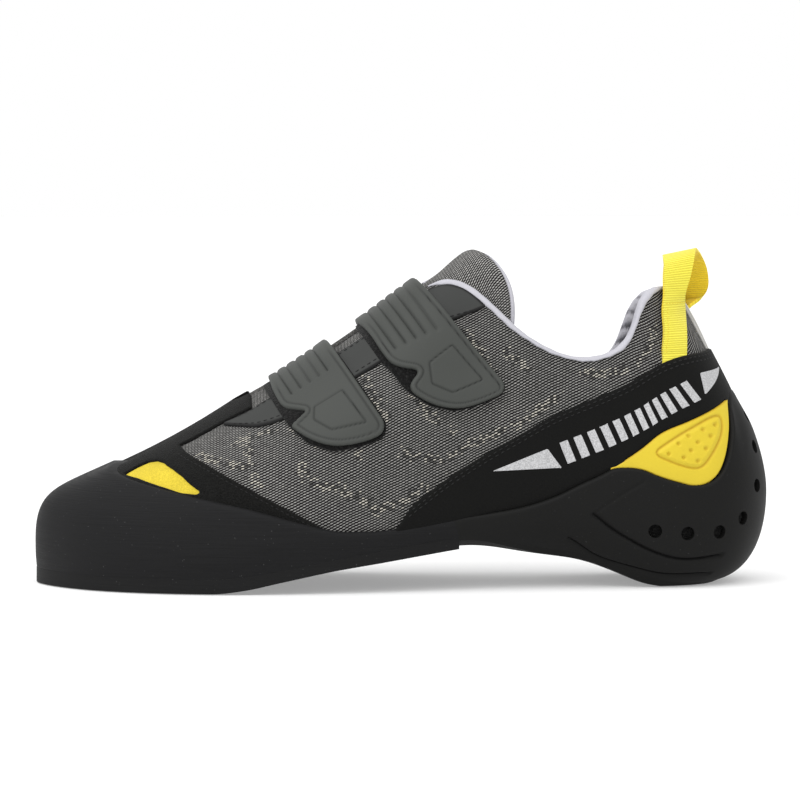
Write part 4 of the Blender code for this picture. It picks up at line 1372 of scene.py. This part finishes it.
def make_heel_insert(label, sign):
    """Yellow insert between heel cup and band, with a groove line and dimples; painted shade along its edges,
    the line and the dimples.
    """
    panel = chart_outline(INSERT_PANEL, INSERT_PITCH, PANEL_CORNER)
    centres = np.array(DIMPLES) * [INSERT_PITCH, 1.0]

    def where(a, b):
        """Section, height and distance inside the edges."""
        t = INSERT_FROM + a * INSERT_SPAN
        low = np.max([rubber_height(t + step) for step in (-0.05, 0.0, 0.05)], axis=0) - 0.5
        high = np.maximum(band_edges(t)[0] + 0.25, low + INSERT_LEAST)
        return t, high + (low - high) * b, np.minimum(b, 1 - b) * (high - low)

    def dents(a, b):
        """Distance from the groove line and from the nearest dimple."""
        t, z, _ = where(a, b)
        flat = np.column_stack([t * INSERT_PITCH, z])
        return outline_distance(flat, panel), nearest(flat, centres)

    def outer(a, b):
        t, z, inside = where(a, b)
        rim, pits = dents(a, b)
        lift = INSERT_GAP + INSERT * edge_rise(inside, INSERT_EDGE)
        lift -= PANEL_LINE * bump(rim, 0.4) + DIMPLE_DEPTH * (1 - smooth_step(0.15, 1.05, pits))
        lift += PANEL_RISE * (1 - smooth_step(-1.6, -0.5, rim))
        return at_height(on_side(t, sign), z, lift)

    def inner(a, b):
        t, z, _ = where(a, b)
        return at_height(on_side(t, sign), z, INSERT_GAP)

    # Painted shade along the insert's edges, where the band and the cup meet it, and in its groove line and
    # dimples
    def painted_shade_and_seams(a, b, points):
        rim, pits = dents(a, b)
        edge = 0.7 * smooth_step(0.8, 0.2, where(a, b)[2])
        return np.maximum(edge, 0.8 * bump(rim, 0.36) + 0.55 * (1 - smooth_step(0.1, 0.9, pits)))

    name = "heel_insert_" + label
    bm = lay(flat_pattern(150, 72), outer, inner, marks={"painted_shade_and_seams": painted_shade_and_seams})
    add_piece(name + "_rubber", bm, [YELLOW_RUBBER], [name])


# Overlays on the knit


def window_distance(t, z):
    flat = np.column_stack([section_number(t) * WINDOW_PITCH, z])
    return outline_distance(flat, chart_outline(WINDOW, WINDOW_PITCH, 1.0))


def overlay_edges(t, s):
    """Distance outside the toe overlay, a strip on the ridge with two wings, and outside its windows."""
    x, y, z = last_point(t, s).T
    wing = (z - smooth_line(WING_EDGE, section_number(t))) * 1.1
    strip = np.maximum(np.abs(y - centre_y(x)) - smooth_line(STRIP_HALF, x), x - STRIP_END)
    return np.minimum(wing, strip), window_distance(t, z)


def make_toe_overlay():
    """Black suede over the toe, with a yellow window in each side."""

    def where(a, b):
        t = OVERLAY_FROM + a * (RING - 2 * OVERLAY_FROM)
        return t, 1 - b * (1 - (rubber_share(t) - 0.012))

    def outside(a, b):
        union, window = overlay_edges(*where(a, b))
        return np.maximum(union, -window)

    def outer(a, b):
        inside = np.maximum(0.0, -outside(a, b))
        return last_offset(*where(a, b), OVERLAY_LIFT + OVERLAY * edge_rise(inside, OVERLAY_EDGE))

    def at(lift):
        return lambda a, b: last_offset(*where(a, b), lift)

    bm = flat_pattern(360, 84)
    cut_out(bm, outside)
    lay(bm, outer, at(OVERLAY_SEAT))
    add_piece("toe_overlay", bm, [BLACK_SUEDE])

    along = np.linspace(9.85, 12.3, 160)
    height = smooth_line(WING_EDGE, along) - 1.6
    lines = []
    for _, sign in SIDES:
        t = on_side(along, sign)
        lines.append(on_last(t, share_at_height(t, height), OVERLAY + 0.06))
    stitches("overlay_thread", lines, BLACK_THREAD, length=1.2, gap=0.8, radius=0.22)

    bm = flat_pattern(240, 60)
    cut_out(bm, lambda a, b: overlay_edges(*where(a, b))[1] - WINDOW_MARGIN)
    lay(bm, at(WINDOW_FACE), at(WINDOW_SEAT))
    add_piece("toe_windows", bm, [YELLOW_FABRIC])


def make_eyestays():
    """Dark stays along both sides of the throat, with a stitched edge."""
    first, last = EYESTAY[0].section, EYESTAY[-1].section
    lines = []
    for label, sign in SIDES:

        def where(a, b):
            """Section, share and distance inside the edges."""
            t = first + a * (last - first)
            low, high = smooth_table(EYESTAY, t).T
            t, s = on_side(t, sign), high + (low - high) * b
            return t, s, np.minimum(edge_gap(t, s, low), edge_gap(t, s, high))

        def outer(a, b):
            t, s, inside = where(a, b)
            return last_offset(t, s, OVERLAY_LIFT + STAY * edge_rise(inside, STAY_EDGE))

        # Painted shade along the stay's cut edges
        def cut_edge(a, b, points):
            return 1 - smooth_step(0.85, 1.35, where(a, b)[2])

        def inner(a, b):
            return last_offset(*where(a, b)[:2], OVERLAY_SEAT)

        bm = lay(flat_pattern(140, 30), outer, inner, marks={"painted_shade_and_seams": cut_edge})
        add_piece("eyestay_" + label, bm, [STAY_SKIN])
        for share, start in ((0.88, 0.05), (0.1, 0.45)):
            lines.append(on_last(*where(np.linspace(start, 0.97, 200), np.full(200, share))[:2], STAY + 0.02))
    stitches("eyestay_thread", lines, BLACK_THREAD, length=1.5, gap=0.9, radius=0.3, sink=0.0)


def make_collar():
    """Padded pale binding round the collar, with puckers inside the heel."""
    profile = np.array(COLLAR_PROFILE + COLLAR_PROFILE[:1])
    columns, rows = 400, len(COLLAR_PROFILE) * 2

    def where(a, b):
        """Section, distance off the wall and depth below the rim."""
        off, depth = read_along(b * (len(profile) - 1), np.arange(len(profile)), profile).T
        return (2 * a - 1) * COLLAR_END, off, depth

    def folds(t, below):
        """How far the padding sinks into its puckers, which run square to the rim where it climbs."""
        t = t + np.sign(t) * FOLD_SKEW * below
        return sum(
            pucker.depth * bump(np.abs((t - pucker.section + TOE) % RING - TOE), pucker.width)
            for pucker in PUCKERS
        )

    def shaded(a, b, points):
        """Shade of the inner face, deeper in the puckers."""
        t, off, depth = where(a, b)
        return smooth_step(-1.6, -3.4, off) * np.minimum(0.14 + 0.3 * folds(t, depth), 1.0)

    def place(a, b):
        t, off, depth = where(a, b)
        rim = rim_share(t)
        top = last_point(t, rim)
        down = unit(last_point(t, rim - 0.02) - top)
        padded = off < -WALL - 0.3
        off = np.where(padded, np.minimum(off + folds(t, depth), -WALL - 0.1), off)
        skirt, crown = smooth_table(COLLAR_ROWS, np.abs(t)).T
        lumps = 0.1 * np.sin(5.3 * t) * np.sin(11.1 * t + 1.0)
        depth = np.where((off > 0) & (depth > 0), depth * (skirt + lumps), depth)
        depth = np.where(depth < 0, depth * (crown + lumps), depth)
        size = 0.3 + 0.7 * smooth_step(COLLAR_END, COLLAR_END - 0.4, np.abs(t))
        return top + last_normal(t, rim) * (off * size)[:, None] + down * (depth * size)[:, None]

    collar = add_piece("collar_binding", sweep(columns, rows, place, {"painted_shade_and_seams": shaded}), [BINDING])


def make_heel_piping():
    """White piping down the back seam, from the collar to the band, with a grey line on each side."""
    side = np.array([0.0, PIPING_HALF, 0.0])

    def place(a, b):
        t = np.zeros_like(a)
        s = share_at_height(t, PIPING_LOW + a * PIPING_LENGTH)
        high = 0.8 + 0.3 * np.sin(a * math.pi)
        return ring_round(last_offset(t, s, high - 0.3), last_normal(t, s) * high[:, None], side, b)

    def seam(a, b, points):
        return bump(np.abs(np.sin(b * 2 * math.pi)) - 0.86, 0.08)

    add_piece("heel_piping", sweep(40, 24, place, {"painted_shade_and_seams": seam}), [PIPING])


# Tongue, straps and loop


def throat_curve(t, share, depth):
    """Curve over the throat at section t, from share below the outer edge to share below the inner edge."""
    count = (TONGUE_POINTS - 1) // 5
    under = np.linspace(1 - share, 1, count, endpoint=False)
    sides, ends, slopes = [], [], []
    for at in (t, RING - t):
        sides.append(last_offset(np.full(count, at), under, -depth))
        at, top = np.array([at]), np.ones(1)
        ends.append(last_offset(at, top, -depth)[0])
        slopes.append(unit(last_point(at, top) - last_point(at, top - 0.02))[0])
    reach = CROWN * np.linalg.norm(ends[1] - ends[0])
    u = np.linspace(0, 1, TONGUE_POINTS - 2 * count)[:, None]
    over = hermite(ends[0], ends[1], slopes[0] * reach, -slopes[1] * reach, u)
    return np.vstack([sides[0], over, sides[1][::-1]])


def arch_curve(arch):
    """Arched curve that leans back from its ridge point, bows along the shoe and tails off at the sides."""
    theta = np.linspace(-math.pi / 2, math.pi / 2, TONGUE_POINTS)
    lean = math.radians(arch.lean)
    side = np.abs(np.sin(theta))
    fall = arch.drop * (1 - np.cos(theta)) + arch.tail * side**14
    ahead = arch.bow * np.sin(2 * np.abs(theta)) - arch.bow * 3.2 * side**24
    x = arch.ridge_x + fall * math.sin(lean) + ahead * math.cos(lean)
    z = arch.ridge_z - fall * math.cos(lean) + ahead * math.sin(lean)
    return np.column_stack([x, arch.half * np.sin(theta), z])


def make_tongue():
    """Padded tongue under the throat, rolled over at its rim, with a pale binding behind."""
    curves = [arch_curve(TONGUE_TOE)]
    curves += [throat_curve(t, TONGUE_TUCK, WALL + TONGUE_GAP) for t in TONGUE_SECTIONS]
    curves += [arch_curve(arch) for arch in TONGUE_ARCHES]
    net = Net(curves)
    length, width = net.rows - 1.0, net.columns - 1.0

    def outer(a, b):
        inside = np.minimum(np.minimum(b, 1 - b) * 60, (length - a * length) * 4.5)
        return net.offset(a * length, b * width, -TONGUE * 0.45 * (1 - round_over(inside, 2.5)))

    def inner(a, b):
        return net.offset(a * length, b * width, -TONGUE)

    sizes = np.zeros_like(net.points)
    for axis in (0, 1):
        steps = np.linalg.norm(np.diff(net.points, axis=axis), axis=2)
        sizes[..., axis] = np.pad(np.cumsum(steps, axis=axis), [(1 - axis, 0), (axis, 0)])
    sizes[..., 1] -= sizes[:, net.columns // 2, 1][:, None]
    lengths = Net(sizes)

    def pattern(a, b):
        return lengths.at(a * length, b * width)[:, :2]

    bm = lay(flat_pattern(160, 60), outer, inner, pattern, {"slub": slub_share}, inner_finish=1)
    tongue = add_piece("tongue_knit", bm, [TONGUE_KNIT, LINING], ["tongue"])

    def rim(a, b):
        i, j = np.full(len(a), length), a * width
        back = unit(net.at(i, j) - net.at(i - 0.1, j)) * (0.5 + 0.6 * np.abs(2 * a - 1))[:, None]
        centre = net.offset(i, j, -TONGUE * 0.75) + back * 0.5
        return ring_round(centre, net.normal(i, j) * 1.4, back, b)

    add_piece("tongue_rim", sweep(120, 14, rim), [BINDING])


def instep_guide():
    """The last with its throat covered, to lay the straps on."""
    steps = TONGUE_POINTS - 1
    curves = np.array([throat_curve(t, 0.0, 0.0) for t in np.linspace(COVER_FROM, TOE, TONGUE_POINTS)])

    def cover(a, b):
        return curves[np.rint(a * steps).astype(int), np.rint(b * steps).astype(int)]

    shell = lay(flat_pattern(RING * 10, 40), lambda a, b: last_point(a * RING, 1 - b))
    bm = joined([shell, lay(flat_pattern(steps, steps), cover)])
    tree = BVHTree.FromBMesh(bm)
    bm.free()
    return tree


class Drape:
    """A smooth surface laid over the instep, measured in turn and shift."""

    angle_from, angle_to, angle_step = -108.0, 105.0, 4.0
    shift_from, shift_to, shift_step = -18.0, 22.0, 3.0

    def __init__(self, name, tree):
        lean = math.radians(INSTEP_LEAN)
        along = np.array([math.cos(lean), 0.0, math.sin(lean)])
        out = np.array([-math.sin(lean), 0.0, math.cos(lean)])
        ridge_x, ridge_z = STRAP_RIDGES[name]
        axis = np.array([ridge_x, 0.0, ridge_z]) - out * STRAP_AXIS_DEPTH
        shifts = np.arange(self.shift_from, self.shift_to, self.shift_step)
        rows = []
        for turn in np.radians(np.arange(self.angle_from, self.angle_to, self.angle_step)):
            aim = Vector(out * math.cos(turn) + np.array([0.0, math.sin(turn), 0.0]))
            hits = [tree.ray_cast(Vector((axis + along * shift) * MM), aim)[0] for shift in shifts]
            rows.append([np.array(hit) / MM for hit in hits])
        points = np.array(rows)
        for _ in range(2):
            points[1:-1] = (points[:-2] + 2 * points[1:-1] + points[2:]) / 4
        self.net = Net(points)

    def over(self, flat, distance):
        """Points at a distance over the instep, at flat places in millimetres."""
        i = (flat[:, 0] / DEGREE - self.angle_from) / self.angle_step
        j = (flat[:, 1] - self.shift_from) / self.shift_step
        return self.net.offset(i, j, -np.asarray(distance))


def make_strap(name, tree):
    """Moulded strap with ribs on the instep, a raised edge and a shield on its tab."""
    drape = Drape(name, tree)
    corners = STRAP_OUTLINES[name]
    outline = rounded_outline([(corner.angle * DEGREE, corner.shift, corner.radius) for corner in corners])
    shield = chart_outline(STRAP_SHIELDS[name], DEGREE, SHIELD_CORNER)
    where = flat_box(outline)
    rib_from, rib_to = RIB_SPANS[name]
    tab, end = min(corners).angle, max(corners).angle

    def ribs(flat):
        """Depth of the grooves between the ribs, each with soft shoulders."""
        angle, shift = flat[:, 0] / DEGREE, flat[:, 1]
        apart = np.min([(shift - groove) ** 2 for groove in RIB_SHIFTS[name]], axis=0)
        depth = 0.7 * np.exp(-apart / 0.15) + 0.3 * np.exp(-apart / 1.9)
        begin = smooth_step(rib_from - 1.0, rib_from + 2.0, angle)
        return depth * (begin * (1 - smooth_step(rib_to - 3.0, rib_to, angle)))

    def lift(flat):
        """Height of the strap's underside over the instep."""
        angle, shift = flat[:, 0] / DEGREE, flat[:, 1]
        tilt = STRAP_TILTS[name] * (shift + 11.0) * smooth_step(-60.0, -20.0, angle)
        ends = 0.9 * smooth_step(34.0, 0.0, np.abs(angle - tab)) + 0.5 * smooth_step(20.0, 50.0, angle)
        return STRAP_LIFTS[name] + tilt + ends

    def lines(flat):
        """Depth of the line beside the raised edge and round the shield."""
        inside = -outline_distance(flat, outline)
        tab_only = 1 - smooth_step(-30.0, -16.0, flat[:, 0] / DEGREE)
        edge_line = bump(inside - EDGE_LINE, EDGE_LINE_WIDTH) * tab_only
        return inside, np.maximum(edge_line, bump(outline_distance(flat, shield), 0.3))

    def outer(a, b):
        flat = where(a, b)
        inside, line = lines(flat)
        height = STRAP * edge_rise(inside, STRAP_EDGE)
        height += RAISED_EDGE * smooth_step(2.3, 1.6, inside) * (flat[:, 0] < 0)
        height -= LINE_DEPTH * line + RIB_DEPTH * ribs(flat)
        height += SHIELD_RISE * smooth_step(0.4, -0.6, outline_distance(flat, shield))
        return drape.over(flat, lift(flat) + height)

    def inner(a, b):
        flat = where(a, b)
        return drape.over(flat, lift(flat))

    def painted_shade_and_seams(a, b, points):
        """Painted shade in the lines, the grooves and on the underside, which darkens the strap's cut edge.
        """
        flat = where(a, b)
        under = np.linalg.norm(points - inner(a, b), axis=1) < 0.01
        return np.where(under, 1.6, np.maximum(lines(flat)[1], 0.55 * ribs(flat) ** 2))

    # Painted highlight along the strap's edges
    def painted_edge_highlight(a, b, points):
        return smooth_step(1.3, 0.2, -outline_distance(where(a, b), outline)) * 0.5

    bm = flat_pattern(76, round((np.ptp(outline[:, 0]) + 1.0) / 0.55))
    cut_out(bm, lambda a, b: outline_distance(where(a, b), outline))
    lay(bm, outer, inner, marks={"painted_shade_and_seams": painted_shade_and_seams, "painted_edge_highlight": painted_edge_highlight})
    add_piece(name + "_skin", bm, [STRAP_SKIN], [name], smooth_angle=60.0)

    near, far = end - 20, end - 4
    path = [(near, -8.6), (far, -8.6), (far, 9.6), (near, 9.6), (near, -8.6), (far, 9.6)]
    numbers = np.arange(len(path))
    flat = read_along(np.linspace(0, numbers[-1], 300), numbers, np.array(path) * [DEGREE, 1.0])
    points = drape.over(flat, lift(flat) + STRAP + 0.02)
    seam = (points, unit(points - drape.over(flat, lift(flat))))
    stitches(name + "_thread", [seam], BLACK_THREAD, length=1.7, gap=0.9, radius=0.26)

    # Black pile pad, whose edge beyond the strap also stands in for the shadow under the strap's edge
    pad = chart_outline(PAD_OUTLINES[name], DEGREE, PAD_CORNER)
    on_pad = flat_box(pad)
    bm = flat_pattern(40, 80)
    cut_out(bm, lambda a, b: outline_distance(on_pad(a, b), pad))
    lay(bm, lambda a, b: drape.over(on_pad(a, b), PAD_TOP), lambda a, b: drape.over(on_pad(a, b), PAD_SEAT))
    add_piece(name + "_pile", bm, [PILE])


def make_pull_loop():
    """Heel tape: a leg on each side of the heel and a loop above the rim."""
    points = 5

    def on_heel(leg, sign):
        return at_height(sign * np.linspace(leg.rear, leg.front, points), leg.height, leg.lift)

    def above_rim(tape):
        heading, tilt = math.radians(tape.heading), math.radians(tape.tilt)
        shift = np.linspace(tape.width / 2, -tape.width / 2, points)[:, None]
        level = math.cos(tilt)
        across = [math.cos(heading) * level, math.sin(heading) * level, math.sin(tilt)]
        return np.array(tape[:3]) + shift * across

    ribs = [on_heel(leg, 1) for leg in OUTER_LEG]
    ribs += [above_rim(tape) for tape in LOOP_TOP]
    ribs += [on_heel(leg, -1) for leg in reversed(INNER_LEG)]
    net = Net(ribs)
    length, width = net.rows - 1, net.columns - 1
    run = run_along(net.points[:, points // 2])

    def face(lift):
        return lambda a, b: net.offset(a * length, b * width, lift)

    def pattern(a, b):
        return np.column_stack([b * LOOP_WIDTH, np.interp(a * length, np.arange(net.rows), run)])

    def inside(a, b, points):
        return np.linalg.norm(points - face(0.0)(a, b), axis=1) / LOOP

    bm = lay(flat_pattern(240, 20), face(0.0), face(-LOOP), pattern, {"inside": inside})
    add_piece("pull_loop_tape", bm, [WEBBING], ["pull_loop"])
    across = np.full(40, 4.4), np.linspace(0.04, 0.96, 40) * width
    down = np.linspace(1.3, 4.3, 80), np.full(80, 0.84 * width)
    lines = [(net.offset(*seam, 0.05), net.normal(*seam)) for seam in (across, down)]
    stitches("pull_loop_thread", lines, YELLOW_THREAD, length=0.9, gap=0.5, radius=0.17)


# Stage

CAMERA_TURN, CAMERA_RISE, CAMERA_FAR = 4.0, 3.5, 1.6
CAMERA_AIM = (-0.00035, 0.0, 0.0636)
CAMERA_LENS, CAMERA_SENSOR = 205.7, 36.0
WHITE, PALE = (1.0, 1.0, 1.0, 1.0), (0.65, 0.65, 0.65, 1.0)
FLOOR_HALF, FLOOR_LEVEL, FLOOR_GLOW = 6.0, -0.0003, 0.3


def make_camera():
    turn, rise = math.radians(CAMERA_TURN), math.radians(CAMERA_RISE)
    ahead = Vector((math.sin(turn) * math.cos(rise), math.cos(turn) * math.cos(rise), -math.sin(rise)))
    data = bpy.data.cameras.new("camera")
    data.lens, data.sensor_width, data.clip_end = CAMERA_LENS, CAMERA_SENSOR, 20.0
    place = Vector(CAMERA_AIM) - ahead * CAMERA_FAR
    bpy.context.scene.camera = put_in_scene("camera", data, place, CAMERA_AIM)


def make_light(name, kind, place, aim, **settings):
    data = bpy.data.lights.new(name, kind)
    for word, value in settings.items():
        setattr(data, word, value)
    put_in_scene(name, data, place, aim)


def make_stage():
    """Pale floor, white surroundings and soft light."""
    bm = bmesh.new()
    bmesh.ops.create_grid(bm, x_segments=1, y_segments=1, size=FLOOR_HALF)
    bmesh.ops.translate(bm, verts=bm.verts, vec=(0.0, 0.0, FLOOR_LEVEL))
    pale = Finish("pale_floor", base_color=PALE, roughness=0.9, specular_ior_level=0.1)
    pale.feed(emission_color=WHITE, emission_strength=FLOOR_GLOW)
    put_in_scene("floor", mesh_of("floor", bm, [pale]))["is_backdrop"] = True
    world = bpy.data.worlds.new("studio")
    world.use_nodes = True
    sky = world.node_tree.nodes["Background"].inputs
    sky["Color"].default_value, sky["Strength"].default_value = WHITE, 1.0
    bpy.context.scene.world = world
    bpy.context.scene.view_settings.view_transform = "Standard"
    make_light("overhead", "SUN", (-0.35, -0.55, 1.0), (0.0, 0.0, 0.0), energy=1.6, angle=math.radians(80.0))
    make_light("key", "AREA", (-0.8, -0.9, 1.4), (0.0, 0.0, 0.04), energy=5.0, size=1.2)


def main():
    make_camera()
    make_stage()
    make_upper()
    make_toe_rand()
    make_heel_cup()
    make_outsole()
    make_insole()
    make_heel_band()
    make_band_print()
    make_band_thread()
    for label, sign in SIDES:
        make_heel_insert(label, sign)
    make_toe_overlay()
    make_eyestays()
    make_collar()
    make_heel_piping()
    make_tongue()
    tree = instep_guide()
    for name in STRAP_OUTLINES:
        make_strap(name, tree)
    make_pull_loop()


main()

boxes = {"cad": CAD_BOX, "visual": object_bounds()}
{word: [list(corner) for corner in box] for word, box in boxes.items()}
